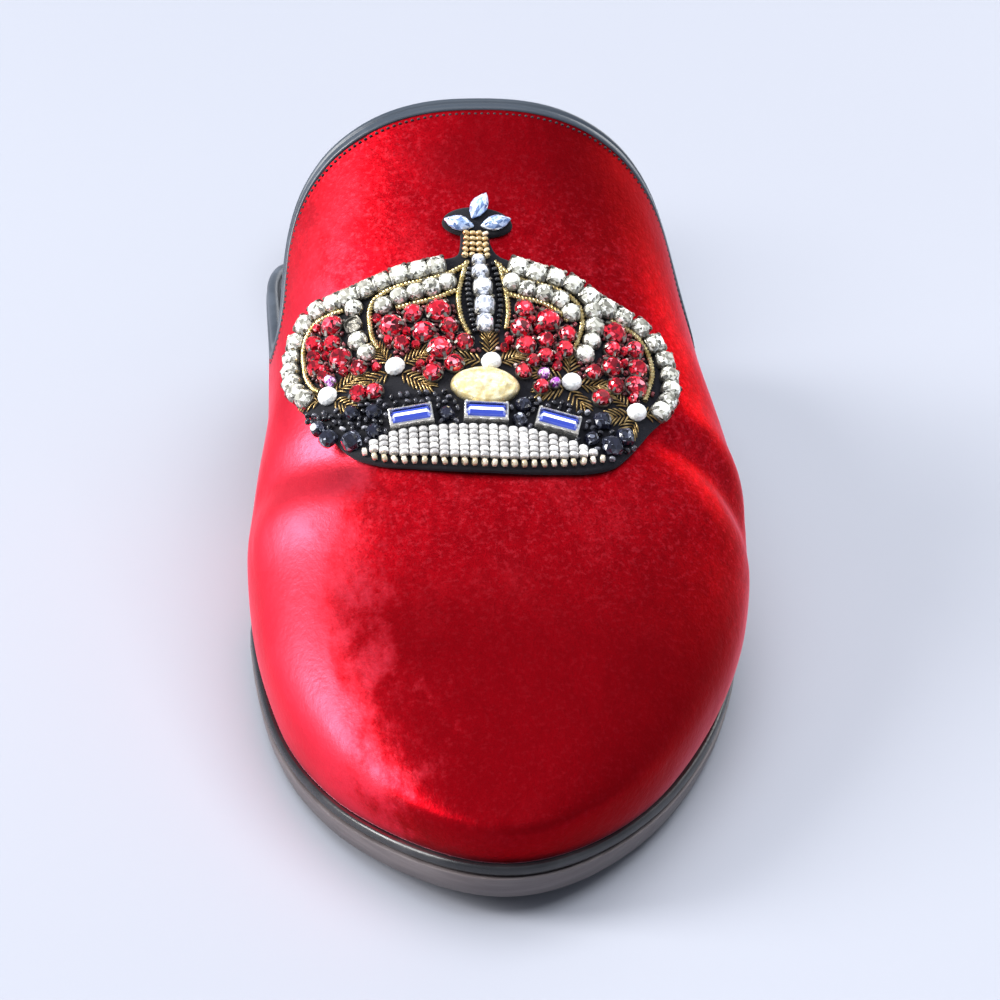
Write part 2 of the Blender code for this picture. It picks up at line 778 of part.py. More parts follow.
def slab(name, vamp, uv, base, height, into):
    """Closed piece lying on the vamp: a grid of crown points, its underside and its height."""
    rows, columns = uv.shape[:2]
    along = uv[rows // 2, -1] - uv[rows // 2, 0]
    upward = uv[-1, columns // 2] - uv[0, columns // 2]
    height = np.broadcast_to(height, (rows, columns))
    if along[0] * upward[1] - along[1] * upward[0] < 0:
        uv = uv[::-1]
        height = height[::-1]
    top = vamp.place(uv, base + height)
    bottom = vamp.place(uv, np.full((rows, columns), base))
    count = rows * columns
    points = np.concatenate([top.reshape(-1, 3), bottom.reshape(-1, 3)])
    faces = []
    for j in range(rows - 1):
        for i in range(columns - 1):
            a = j * columns + i
            faces.append((a, a + 1, a + 1 + columns, a + columns))
            faces.append((count + a, count + a + columns, count + a + 1 + columns, count + a + 1))
    ring = [i for i in range(columns)]
    ring += [j * columns + columns - 1 for j in range(1, rows)]
    ring += [(rows - 1) * columns + i for i in range(columns - 2, -1, -1)]
    ring += [j * columns for j in range(rows - 2, 0, -1)]
    for i, a in enumerate(ring):
        b = ring[(i + 1) % len(ring)]
        faces.append((a, count + a, count + b, b))
    return mesh_object(name, points, faces, into)


def columns_grid(table, columns, rows):
    """Grid between the low and high edge of a column table."""
    table = np.array(table) * CROWN_UNIT
    u = evenly_between(table[:, 0], columns)
    low = np.interp(u, table[:, 0], table[:, 1])
    high = np.interp(u, table[:, 0], table[:, 2])
    share = np.linspace(0, 1, rows + 1)[:, None]
    return np.stack(np.broadcast_arrays(u[None], low + (high - low) * share), axis=-1)


def evenly_between(knots, count):
    """Stations that keep every knot of a table and fill the longest spans."""
    found = list(knots)
    while len(found) <= count:
        widest = int(np.argmax(np.diff(found)))
        found.insert(widest + 1, (found[widest] + found[widest + 1]) / 2)
    return np.array(found)


def strip_grid(path, width, columns, across):
    """Grid of a band of even width along a path of the crown."""
    line = smooth_path(np.array(path) * CROWN_UNIT, columns + 1)
    along = np.gradient(line, axis=0)
    along /= np.linalg.norm(along, axis=1)[:, None]
    left = np.stack([-along[:, 1], along[:, 0]], axis=1)
    share = np.linspace(-0.5, 0.5, across + 1)[:, None, None]
    return line[None] + left[None] * share * width


def tapered_grid(u, v, turn, half_length, half_width, taper):
    """Grid of a bar of the crown: a box for taper 0, pointed at both ends for 1."""
    along = np.linspace(-1, 1, 7 if taper else 3)
    width = half_width * (1 - taper * along**2 * (1 - MARQUISE_END))
    share = np.linspace(-1, 1, 3)[:, None]
    x = np.broadcast_to(along * half_length, (3, len(along)))
    y = share * width
    angle = math.radians(turn)
    return CROWN_UNIT * np.stack(
        [u + x * math.cos(angle) - y * math.sin(angle), v + x * math.sin(angle) + y * math.cos(angle)],
        axis=-1,
    )


def round_piece(name, vamp, u, v, half_length, half_width, base, height, into, sides=14):
    """Round or oval cabochon: a foot ring, a shoulder ring and a top ring with its middle."""
    angle = np.linspace(0, 2 * math.pi, sides, endpoint=False)
    rings = ((1.0, 0.0), (1.0, 0.35), (0.82, 0.75), (0.45, 0.96))
    points = []
    for size, share in rings:
        ring = [u + half_length * size * np.cos(angle), v + half_width * size * np.sin(angle)]
        points.append(vamp.place(CROWN_UNIT * np.stack(ring, axis=1), np.full(sides, base + height * share)))
    middle = CROWN_UNIT * np.array([[u, v]])
    points.append(vamp.place(middle, np.array([base + height])))
    points.append(vamp.place(middle, np.array([base])))
    faces = []
    for level in range(len(rings) - 1):
        for i in range(sides):
            j = (i + 1) % sides
            a = level * sides
            faces.append((a + i, a + j, a + sides + j, a + sides + i))
    top = len(rings) * sides
    for i in range(sides):
        j = (i + 1) % sides
        a = (len(rings) - 1) * sides
        faces.append((a + i, a + j, top))
        faces.append((j, i, top + 1))
    return mesh_object(name, np.concatenate(points), faces, into)


def pillow(shape, edge):
    """Heights as shares that fall to the given share at a grid's rim, more abruptly along its columns."""
    rows, columns = shape
    a = 1 - np.abs(np.linspace(-1, 1, rows)) ** 2.5
    b = 1 - np.abs(np.linspace(-1, 1, columns)) ** 6
    return edge + (1 - edge) * np.sqrt(np.maximum(0, a[:, None] * b[None]))


def build_sole(parts):
    waist = OUTSOLE_WAIST
    outsole = plate(
        "outsole",
        (
            (OUTSOLE_BEVEL, under_z),
            (waist[0] * OUTSOLE_BEVEL, lambda t: under_z(t) + waist[1] * OUTSOLE_THICK),
            (0.0, lambda t: under_z(t) + OUTSOLE_THICK - RAND_ROUND),
            (SEAM_EASE, lambda t: under_z(t) + OUTSOLE_THICK),
        ),
        parts,
    )
    finish(outsole, (0.20, 0.17, 0.16), 0.5)
    low = OUTSOLE_THICK + GAP
    rand = plate(
        "rand",
        (
            (SEAM_EASE, lambda t: under_z(t) + low),
            (0.0, lambda t: under_z(t) + low + RAND_ROUND),
            (0.0, lambda t: rand_top(t) - RAND_ROUND),
            (RAND_ROUND, rand_top),
        ),
        parts,
    )
    finish(rand, (0.010, 0.010, 0.012), 0.45)
    t = LENGTH * (1 - np.cos(np.linspace(0, math.pi, FINE))) / 2
    inside = follow(INSOLE, 1, t / LENGTH)
    lean = follow(INSOLE, 2, t / LENGTH)
    inset = inside * (LEDGE + lean * WALL + INSOLE_CLEAR) + (1 - inside) * INSOLE_EDGE
    insole = plate(
        "insole",
        (
            (inset, lambda t: rand_top(t) + GAP),
            (inset, lambda t: rand_top(t) + GAP + INSOLE_THICK - RAND_ROUND),
            (inset + RAND_ROUND, lambda t: rand_top(t) + GAP + INSOLE_THICK),
        ),
        parts,
    )
    finish(insole, (0.014, 0.014, 0.016), 0.5)
    split = TOP_LIFT_THICK + GAP
    heel = plate(
        "heel",
        (
            (HEEL_INSET + RAND_ROUND, lambda t: np.full_like(t, split)),
            (HEEL_INSET, lambda t: under_z(t) - GAP),
        ),
        parts,
        start=HEEL_FRONT,
    )
    finish(heel, (0.05, 0.035, 0.03), 0.45)
    top_lift = plate(
        "top_lift",
        (
            (HEEL_INSET + 2 * RAND_ROUND, lambda t: np.zeros_like(t)),
            (HEEL_INSET + RAND_ROUND, lambda t: np.full_like(t, RAND_ROUND)),
            (HEEL_INSET + RAND_ROUND, lambda t: np.full_like(t, TOP_LIFT_THICK)),
        ),
        parts,
        start=HEEL_FRONT,
    )
    finish(top_lift, (0.02, 0.02, 0.02), 0.8)


def build_upper(parts, cutters):
    points, faces = upper_surface()
    upper = mesh_object("upper", points, faces, parts)
    wall = upper.modifiers.new("wall", "SOLIDIFY")
    wall.thickness = WALL
    wall.offset = -1
    wall.use_even_offset = True
    cut = upper.modifiers.new("topline", "BOOLEAN")
    cut.operation = "DIFFERENCE"
    cut.solver = "EXACT"
    cut.object = topline_cutter(cutters)
    finish(upper, (0.55, 0.005, 0.012), 0.6)
    line = topline_curve(BINDING_RADIUS + GAP, WALL / 2)
    binding = tube("topline_binding", line, BINDING_RADIUS, parts)
    finish(binding, (0.010, 0.010, 0.013), 0.4)


def build_crown(parts):
    vamp = Vamp()
    red = (0.45, 0.004, 0.010)
    clear = (0.80, 0.82, 0.80)
    gold = (0.62, 0.40, 0.12)
    black = (0.010, 0.010, 0.012)
    grid = columns_grid(BACKING, 26, 8)
    finish(slab("crown_backing", vamp, grid, FELT_LIFT, FELT_THICK, parts), black, 0.9)
    u, v, half_length, half_width = FINIAL_BACKING
    finial = round_piece("finial_backing", vamp, u, v, half_length, half_width, FELT_LIFT, FELT_THICK, parts)
    finish(finial, black, 0.9)
    for side, word in ((-1, "medial"), (1, "lateral")):
        grid = columns_grid(OUTER_FIELD[side], 6, 5)
        finish(slab("outer_field_" + word, vamp, grid, TRIM_LIFT, FIELD_HEIGHT, parts), red, 0.15)
        grid = columns_grid(INNER_FIELD[side], 6, 5)
        finish(slab("inner_field_" + word, vamp, grid, TRIM_LIFT, FIELD_HEIGHT, parts), red, 0.15)
        grid = strip_grid(OUTER_ARCH[side], OUTER_STONE, 16, 2)
        height = ARCH_HEIGHT * pillow(grid.shape[:2], ARCH_RIM)
        finish(slab("outer_arch_" + word, vamp, grid, TRIM_LIFT, height, parts), clear, 0.05)
        grid = strip_grid(INNER_ARCH[side], INNER_STONE, 10, 2)
        height = ARCH_HEIGHT * pillow(grid.shape[:2], ARCH_RIM)
        finish(slab("inner_arch_" + word, vamp, grid, TRIM_LIFT, height, parts), clear, 0.05)
    u, v, half_width, half_length = PILLAR
    grid = tapered_grid(u, v, 90, half_length, half_width, 0)
    finish(slab("pillar", vamp, grid, TRIM_LIFT, PILLAR_HEIGHT, parts), clear, 0.05)
    u, v, half_width, half_length = SETTING
    grid = tapered_grid(u, v, 90, half_length, half_width, 0)
    finish(slab("gold_setting", vamp, grid, TRIM_LIFT, STONE_HEIGHT, parts), gold, 0.3, 1)
    for name, u, v, turn, half_length, half_width in MARQUISES:
        grid = tapered_grid(u, v, turn, half_length, half_width, 1)
        height = STONE_HEIGHT * pillow(grid.shape[:2], MARQUISE_RIM)
        finish(slab(name, vamp, grid, TRIM_LIFT, height, parts), (0.45, 0.62, 0.9), 0.05)
    for name, u, v, half_length, half_width in ROUNDS:
        tall = MEDALLION_HEIGHT if name == "medallion" else STONE_HEIGHT
        made = round_piece(name, vamp, u, v, half_length, half_width, TRIM_LIFT, tall, parts)
        if name == "medallion":
            finish(made, gold, 0.3, 1)
        else:
            finish(made, clear, 0.1)
    grid = columns_grid(BAND, 14, 3)
    finish(slab("bead_band", vamp, grid, TRIM_LIFT, BAND_HEIGHT, parts), black, 0.2)
    on_band = TRIM_LIFT + BAND_HEIGHT + GAP
    for name, u, v, turn, half_length, half_width in BAGUETTES:
        grid = tapered_grid(u, v, turn, half_length, half_width, 0)
        finish(slab(name, vamp, grid, on_band, BAGUETTE_HEIGHT, parts), (0.5, 0.55, 0.85), 0.05)
    grid = columns_grid(PANEL, 14, 4)
    height = PANEL_HEIGHT * pillow(grid.shape[:2], PANEL_RIM)
    finish(slab("bead_panel", vamp, grid, TRIM_LIFT, height, parts), (0.8, 0.78, 0.72), 0.2)
    grid = strip_grid(EDGING, EDGING_WIDTH, 14, 1)
    finish(slab("gold_edging", vamp, grid, TRIM_LIFT, EDGING_HEIGHT, parts), gold, 0.3, 1)


def main():
    clear_scene()
    parts = collection("loafer_mule")
    cutters = collection("cutters", hidden=True)
    build_sole(parts)
    build_upper(parts, cutters)
    build_crown(parts)


main()
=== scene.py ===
"""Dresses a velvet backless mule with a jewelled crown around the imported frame.

The shoe stands on z = 0 with its toe towards -Y. In the tables a station is a share of the shoe's
length counted from the toe tip, and t is that distance in metres.
"""

import logging
import math
from dataclasses import dataclass, field
from enum import Enum
from functools import cache
from typing import Callable, Sequence

import bmesh
import bpy
import numpy as np
from mathutils import Matrix, Vector
from mathutils.bvhtree import BVHTree
from mathutils.geometry import delaunay_2d_cdt


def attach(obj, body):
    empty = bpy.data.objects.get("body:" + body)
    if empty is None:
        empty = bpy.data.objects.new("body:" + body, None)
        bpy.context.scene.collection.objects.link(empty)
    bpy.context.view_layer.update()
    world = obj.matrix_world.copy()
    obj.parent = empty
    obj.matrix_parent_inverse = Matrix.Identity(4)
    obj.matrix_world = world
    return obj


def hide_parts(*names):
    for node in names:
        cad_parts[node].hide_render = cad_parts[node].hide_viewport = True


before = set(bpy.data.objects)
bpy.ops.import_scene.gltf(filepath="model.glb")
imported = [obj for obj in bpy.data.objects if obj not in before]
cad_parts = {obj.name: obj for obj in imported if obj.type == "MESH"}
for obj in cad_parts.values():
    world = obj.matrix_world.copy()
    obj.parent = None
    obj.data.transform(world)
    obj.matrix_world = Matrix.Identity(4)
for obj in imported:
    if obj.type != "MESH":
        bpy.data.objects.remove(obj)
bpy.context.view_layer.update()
BODY = "root"
MM = 0.001
FINE = 1200
log = logging.getLogger("loafer_mule")
Piece = bpy.types.Object
Socket = bpy.types.NodeSocket


def hermite(knots: np.ndarray, values: np.ndarray, slopes: np.ndarray, at: np.ndarray) -> np.ndarray:
    """A cubic through values with given slopes at its knots.

    Args:
        knots: rising places.
        values: a number or a point at each knot.
        slopes: how fast they change there.
        at: the places asked for.

    Returns:
        The values at those places.
    """
    i = np.clip(np.searchsorted(knots, at, side="right") - 1, 0, len(knots) - 2)
    step = knots[i + 1] - knots[i]
    s = at - knots[i]
    if values.ndim == 2:
        step = step[:, None]
        s = s[:, None]
    s = s / step
    return (
        (1 + 2 * s) * (1 - s) ** 2 * values[i]
        + s * (1 - s) ** 2 * step * slopes[i]
        + s * s * (3 - 2 * s) * values[i + 1]
        + s * s * (s - 1) * step * slopes[i + 1]
    )


def follow(table: np.ndarray, column: int, at: np.ndarray) -> np.ndarray:
    """One column of a table at any station, along a monotone cubic.

    Args:
        table: rows of station and values.
        column: the column that is read.
        at: the stations asked for.

    Returns:
        The values at those stations.
    """
    xs = table[:, 0]
    ys = table[:, column]
    step = np.diff(xs)
    rise = np.diff(ys) / step
    slope = np.zeros_like(ys)
    for i in range(1, len(xs) - 1):
        if rise[i - 1] * rise[i] > 0:
            first = 2 * step[i] + step[i - 1]
            second = step[i] + 2 * step[i - 1]
            slope[i] = (first + second) / (first / rise[i - 1] + second / rise[i])
    slope[0] = rise[0]
    slope[-1] = rise[-1]
    return hermite(xs, ys, slope, np.clip(np.asarray(at, float), xs[0], xs[-1]))


def evenly(curve: np.ndarray, count: int) -> np.ndarray:
    """The curve resampled to points at equal distances.

    Args:
        curve: points in order.
        count: how many points are wanted.

    Returns:
        The new points.
    """
    run = np.concatenate([[0], np.cumsum(np.linalg.norm(np.diff(curve, axis=0), axis=1))])
    at = np.linspace(0, run[-1], count)
    return np.stack([np.interp(at, run, curve[:, k]) for k in range(curve.shape[1])], axis=1)


def smooth_path(points: Sequence, count: int) -> np.ndarray:
    """Points evenly spaced along a smooth curve through the given ones.

    Args:
        points: the points that the curve passes through.
        count: how many points are wanted.

    Returns:
        The points of the curve.
    """
    points = np.asarray(points, float)
    knots = np.concatenate([[0], np.cumsum(np.linalg.norm(np.diff(points, axis=0), axis=1) ** 0.5)])
    tangent = np.zeros_like(points)
    for i in range(1, len(points) - 1):
        before = knots[i] - knots[i - 1]
        after = knots[i + 1] - knots[i]
        back = (points[i] - points[i - 1]) / before
        ahead = (points[i + 1] - points[i]) / after
        tangent[i] = (back * after + ahead * before) / (before + after)
    tangent[0] = (points[1] - points[0]) / (knots[1] - knots[0])
    tangent[-1] = (points[-1] - points[-2]) / (knots[-1] - knots[-2])
    curve = hermite(knots, points, tangent, np.linspace(0, knots[-1], FINE))
    return evenly(curve, count)


def cap(distance: np.ndarray, radius: float, power: float = 2.0) -> np.ndarray:
    """Quarter ellipse, or a fuller curve for a higher power, that rises from 0 to 1 over the radius.

    Args:
        distance: how far each point lies from the end.
        radius: where the curve reaches 1.
        power: 2 for an ellipse.

    Returns:
        The height of the curve at each point.
    """
    k = np.clip(1 - np.asarray(distance, float) / radius, 0, 1)
    return np.maximum(0, 1 - k**power) ** (1 / power)


def unit(vectors: np.ndarray) -> np.ndarray:
    """The vectors at length 1."""
    return vectors / np.maximum(np.linalg.norm(vectors, axis=-1), 1e-12)[..., None]


def softened(values: np.ndarray, times: int) -> np.ndarray:
    """Values along a path, each averaged with its neighbours a number of times."""
    values = values.copy()
    for _ in range(times):
        values[1:-1] = (values[:-2] + 2 * values[1:-1] + values[2:]) / 4
    return values


# station, medial, lateral: half widths of the sole as shares of the ball's width.
SOLE = np.array([
    (0.00, 0.400, 0.400),
    (0.10, 0.462, 0.458),
    (0.20, 0.476, 0.486),
    (0.31, 0.476, 0.500),
    (0.40, 0.430, 0.490),
    (0.50, 0.350, 0.438),
    (0.60, 0.288, 0.378),
    (0.70, 0.266, 0.340),
    (0.80, 0.280, 0.326),
    (0.89, 0.304, 0.316),
    (1.00, 0.304, 0.304),
])

# station, spring, heel: height of the sole's underside as shares of toe spring and heel height.
LIFT = np.array([
    (0.00, 1.00, 0.00),
    (0.05, 0.58, 0.00),
    (0.10, 0.28, 0.00),
    (0.16, 0.07, 0.00),
    (0.21, 0.00, 0.00),
    (0.42, 0.00, 0.00),
    (0.50, 0.00, 0.10),
    (0.58, 0.00, 0.32),
    (0.66, 0.00, 0.62),
    (0.74, 0.00, 0.88),
    (0.80, 0.00, 0.98),
    (0.86, 0.00, 1.00),
    (1.00, 0.00, 1.00),
])

# station, medial, lateral (shares of the ball's width), height of the widest line above the rand on
# each side and height of the ridge (shares of the instep's height), fullness of the section.
UPPER = np.array([
    (0.00, 0.395, 0.395, 0.080, 0.080, 0.270, 2.50),
    (0.05, 0.440, 0.440, 0.090, 0.090, 0.315, 2.50),
    (0.12, 0.470, 0.480, 0.105, 0.105, 0.365, 2.45),
    (0.18, 0.480, 0.500, 0.125, 0.125, 0.415, 2.40),
    (0.24, 0.485, 0.512, 0.140, 0.140, 0.485, 2.35),
    (0.31, 0.482, 0.518, 0.160, 0.150, 0.590, 2.30),
    (0.38, 0.460, 0.510, 0.200, 0.180, 0.705, 2.30),
    (0.45, 0.430, 0.474, 0.250, 0.205, 0.835, 2.35),
    (0.52, 0.420, 0.446, 0.290, 0.240, 0.950, 2.45),
    (0.60, 0.416, 0.430, 0.330, 0.285, 1.060, 2.50),
    (0.70, 0.385, 0.405, 0.330, 0.300, 1.170, 2.50),
    (0.80, 0.350, 0.375, 0.330, 0.300, 1.250, 2.50),
])

# station, shift: the last's centre line as a share of the ball's width, medial being negative.
CENTRE = np.array([
    (0.00, -0.040),
    (0.12, -0.030),
    (0.31, -0.005),
    (0.60, 0.000),
    (1.00, 0.000),
])

# station, inside (1 within the upper, 0 on the open heel), lean: how far the insole lies inside the
# sole's edge, as so many walls where the upper leans over it.
INSOLE = np.array([
    (0.00, 1.0, 1.15),
    (0.30, 1.0, 1.15),
    (0.45, 1.0, 1.45),
    (0.66, 1.0, 1.55),
    (0.72, 1.0, 1.25),
    (0.77, 0.0, 1.25),
    (1.00, 0.0, 1.25),
])

# station, height as a share of the instep's height: the topline seen from the side, from the wing's
# end round the notch to the peak.
TOPLINE = np.array([
    (0.7274, 0.125),
    (0.7188, 0.229),
    (0.7049, 0.302),
    (0.6701, 0.380),
    (0.6146, 0.432),
    (0.5556, 0.453),
    (0.5174, 0.458),
    (0.4931, 0.469),
    (0.4785, 0.500),
    (0.4757, 0.547),
    (0.4854, 0.594),
    (0.5052, 0.641),
    (0.5260, 0.698),
    (0.5403, 0.771),
    (0.5472, 0.854),
    (0.5503, 0.938),
    (0.5531, 1.021),
])


@dataclass(frozen=True)
class Last:
    """The shape that the shoe is made on, and the layers of its sole."""

    length: float = 288 * MM
    ball_width: float = 105 * MM
    instep_height: float = 96 * MM
    heel_back: float = 33 * MM
    toe_spring: float = 5.5 * MM
    heel_height: float = 15 * MM
    outsole_thick: float = 5.2 * MM
    outsole_bevel: float = 1.3 * MM
    rand_thick: float = 2.4 * MM
    insole_thick: float = 2.0 * MM
    top_lift_thick: float = 5.7 * MM
    heel_front: float = 218 * MM
    heel_inset: float = 1.2 * MM
    wall: float = 2.2 * MM
    ledge: float = 1.5 * MM
    gap: float = 0.3 * MM
    toe_round: float = 95 * MM
    heel_round: float = 34 * MM
    toe_box_round: float = 60 * MM
    toe_box_full: float = 2.5
    peak_from: float = 0.875
    hub_height: float = 0.31
    rows_end: float = 0.743
    patch_corner: float = 0.028

    @property
    def y_toe(self) -> float:
        """Y of the toe tip."""
        return self.heel_back - self.length

    def centre_x(self, t: np.ndarray) -> np.ndarray:
        """X of the centre line."""
        return follow(CENTRE, 1, t / self.length) * self.ball_width

    def sole_half(self, t: np.ndarray, side: int) -> np.ndarray:
        """Half width of the sole on one side."""
        width = follow(SOLE, 1 if side < 0 else 2, t / self.length) * self.ball_width
        return width * cap(t, self.toe_round) * cap(self.length - t, self.heel_round)

    def under_z(self, t: np.ndarray) -> np.ndarray:
        """Height of the outsole's underside."""
        station = t / self.length
        return follow(LIFT, 1, station) * self.toe_spring + follow(LIFT, 2, station) * self.heel_height

    def rand_foot(self, t: np.ndarray) -> np.ndarray:
        """Height of the rand's underside."""
        return self.under_z(t) + self.outsole_thick + self.gap

    def rand_top(self, t: np.ndarray) -> np.ndarray:
        """Height of the rand's top."""
        return self.rand_foot(t) + self.rand_thick

    def upper_half(self, t: np.ndarray, side: int) -> np.ndarray:
        """Half width of the upper at its widest line."""
        width = follow(UPPER, 1 if side < 0 else 2, t / self.length) * self.ball_width
        return width * cap(t, self.toe_round)

    def wide_z(self, t: np.ndarray, side: int) -> np.ndarray:
        """Height of the upper's widest line."""
        return self.rand_top(t) + follow(UPPER, 3 if side < 0 else 4, t / self.length) * self.instep_height

    def dome(self, x: np.ndarray, t: np.ndarray) -> np.ndarray:
        """Height of the upper's outer face over a point of its plan."""
        across = x - self.centre_x(t)
        reach = np.where(across < 0, self.upper_half(t, -1), self.upper_half(t, 1))
        r = np.clip(np.abs(across) / np.maximum(reach, 1e-9), 0, 1)
        share = 0.5 + 0.5 * np.sign(across) * r
        share = share * share * (3 - 2 * share)
        low = self.wide_z(t, -1) * (1 - share) + self.wide_z(t, 1) * share
        ridge = follow(UPPER, 5, t / self.length) * self.instep_height
        power = follow(UPPER, 6, t / self.length)
        rise = (ridge - low) * cap(t, self.toe_box_round, self.toe_box_full)
        return low + rise * np.maximum(0, 1 - r**power) ** (1 / power)

    def world(self, t: np.ndarray, x: np.ndarray, z: np.ndarray) -> np.ndarray:
        """Points from distance behind the toe, offset from the centre line and height."""
        t = np.asarray(t, float)
        return np.stack(np.broadcast_arrays(self.centre_x(t) + x, self.y_toe + t, z), axis=-1)

    def sole_edge(self, inset: float | np.ndarray, side: int) -> np.ndarray:
        """One edge of the sole moved inwards.

        Args:
            inset: how far, one value or one for each of the FINE points.
            side: -1 for the medial edge, 1 for the lateral one.

        Returns:
            Points of t and offset from the centre line, toe to heel.
        """
        t = self.length * (1 - np.cos(np.linspace(0, math.pi, FINE))) / 2
        edge = np.stack([t, side * self.sole_half(t, side)], axis=1)
        along = unit(np.gradient(edge, axis=0))
        inward = np.stack([along[:, 1], -along[:, 0]], axis=1) * side
        inward[0] = (1, 0)
        inward[-1] = (-1, 0)
        moved = edge + inward * np.broadcast_to(inset, (FINE,))[:, None]
        moved[0, 1] = 0
        moved[-1, 1] = 0
        return moved

    def half_at(self, t: np.ndarray, z: np.ndarray, side: int) -> np.ndarray:
        """Offset of the upper's outer face from the centre line.

        Args:
            t: distances behind the toe.
            z: a height for each.
            side: -1 for the medial side, 1 for the lateral one.

        Returns:
            The offsets, all positive.
        """
        reach = self.upper_half(t, side)
        low = np.zeros_like(t)
        high = reach.copy()
        for _ in range(40):
            middle = (low + high) / 2
            above = self.dome(self.centre_x(t) + side * middle, t) > z
            low = np.where(above, middle, low)
            high = np.where(above, high, middle)
        edge = self.sole_edge(self.ledge, side)
        foot = np.abs(np.interp(t, edge[:, 0], edge[:, 1]))
        top = self.wide_z(t, side)
        s = np.clip((top - z) / (top - self.rand_top(t) - self.gap), 0, 1)
        return np.where(z >= top, low, reach + (foot - reach) * s * s)

    def topline(self, outward: float, count: int) -> np.ndarray:
        """The run of the topline on the outer face over both sides.

        Args:
            outward: how far off the rim, negative for down the vamp.
            count: how many points are wanted.

        Returns:
            Points from the medial wing's end over the peak to the lateral one.
        """
        path = smooth_path(TOPLINE * (self.length, self.instep_height), 500)
        along = unit(np.gradient(path, axis=0))
        path = path + np.stack([along[:, 1], -along[:, 0]], axis=1) * outward
        path = path[path[:, 1] > self.rand_top(path[:, 0]) + self.gap + max(outward, 0)]
        medial = self.topline_side(path, -1)
        lateral = self.topline_side(path, 1)
        return evenly(np.concatenate([medial, lateral[::-1][1:]]), count)

    def topline_side(self, path: np.ndarray, side: int) -> np.ndarray:
        """The topline on one side, from the wing's end to the peak.

        Args:
            path: the topline seen from the side, as t and height.
            side: -1 for the medial side, 1 for the lateral one.

        Returns:
            Points on the outer face.
        """
        split = self.peak_from * self.instep_height
        lower = path[path[:, 1] < split]
        upper = path[path[:, 1] >= split]
        x = self.half_at(lower[:, 0], lower[:, 1], side)
        run = self.world(lower[:, 0], side * x, lower[:, 1])
        more = x[-1] * np.cos(np.linspace(0, math.pi / 2, 90))[1:]
        t = np.full(len(more), upper[0, 0])
        for _ in range(30):
            z = self.dome(self.centre_x(t) + side * more, t)
            t = np.interp(z, upper[:, 1], upper[:, 0])
        return np.concatenate([run, self.world(t, side * more, z)])

    def outer_face(self, across: int, rows: int, skirt: int) -> tuple[np.ndarray, np.ndarray]:
        """The upper's outer face: a patch over the plan, and a skirt below its widest line.

        Args:
            across: faces from side to side.
            rows: faces from the toe to the wings' ends.
            skirt: faces from the widest line to the rand.

        Returns:
            Points and quads.
        """
        end = self.rows_end * self.length
        v = np.linspace(0, 1, rows + 1)
        v = 0.62 * v + 0.38 * (1 - np.cos(v * math.pi / 2))
        corner = self.patch_corner * self.length
        turn = math.acos(1 - corner / self.toe_round)
        u = (1 - np.cos(np.linspace(0, math.pi, across + 1))) / 2
        angle = (2 * u - 1) * turn
        front_t = self.toe_round * (1 - np.cos(angle))
        front_half = np.where(angle < 0, self.upper_half(front_t, -1), self.upper_half(front_t, 1))
        front = np.stack([self.centre_x(front_t) + np.sign(angle) * front_half, front_t], axis=1)
        side_t = corner + (end - corner) * v
        left = np.stack([self.centre_x(side_t) - self.upper_half(side_t, -1), side_t], axis=1)
        right = np.stack([self.centre_x(side_t) + self.upper_half(side_t, 1), side_t], axis=1)
        back = left[-1] + (right[-1] - left[-1]) * u[:, None]
        a = u[None, :, None]
        b = v[:, None, None]
        plan = (1 - b) * front[None] + b * back[None] + (1 - a) * left[:, None] + a * right[:, None]
        plan -= (1 - a) * (1 - b) * front[0] + a * (1 - b) * front[-1]
        plan -= (1 - a) * b * back[0] + a * b * back[-1]
        x = plan[..., 0]
        t = plan[..., 1]
        points = np.stack([x, self.y_toe + t, self.dome(x, t)], axis=-1).reshape(-1, 3)
        wide = across + 1
        cell = (np.arange(rows)[:, None] * wide + np.arange(across)[None]).ravel()
        quads = [np.stack([cell, cell + 1, cell + 1 + wide, cell + wide], axis=1)]
        rim = np.concatenate([
            np.arange(rows, 0, -1) * wide,
            np.arange(wide),
            np.arange(1, rows + 1) * wide + across,
        ])
        flat = plan.reshape(-1, 2)[rim]
        offset = flat[:, 0] - self.centre_x(flat[:, 1])
        foot_t = np.where(
            flat[:, 1] < self.toe_round,
            self.ledge + flat[:, 1] * (1 - self.ledge / self.toe_round),
            flat[:, 1],
        )
        medial = self.sole_edge(self.ledge, -1)
        lateral = self.sole_edge(self.ledge, 1)
        foot_x = np.where(
            offset < 0,
            np.interp(foot_t, medial[:, 0], medial[:, 1]),
            np.interp(foot_t, lateral[:, 0], lateral[:, 1]),
        )
        top_z = points[rim, 2]
        foot_z = self.rand_top(foot_t) + 0.2 * self.gap
        previous = rim
        for s in np.linspace(0, 1, skirt + 1)[1:]:
            ring = self.world(
                flat[:, 1] + (foot_t - flat[:, 1]) * s * s,
                offset + (foot_x - offset) * s * s,
                top_z + (foot_z - top_z) * s,
            )
            current = len(points) + np.arange(len(rim))
            points = np.concatenate([points, ring])
            quads.append(np.stack([previous[:-1], current[:-1], current[1:], previous[1:]], axis=1))
            previous = current
        return points, np.concatenate(quads)


LAST = Last()


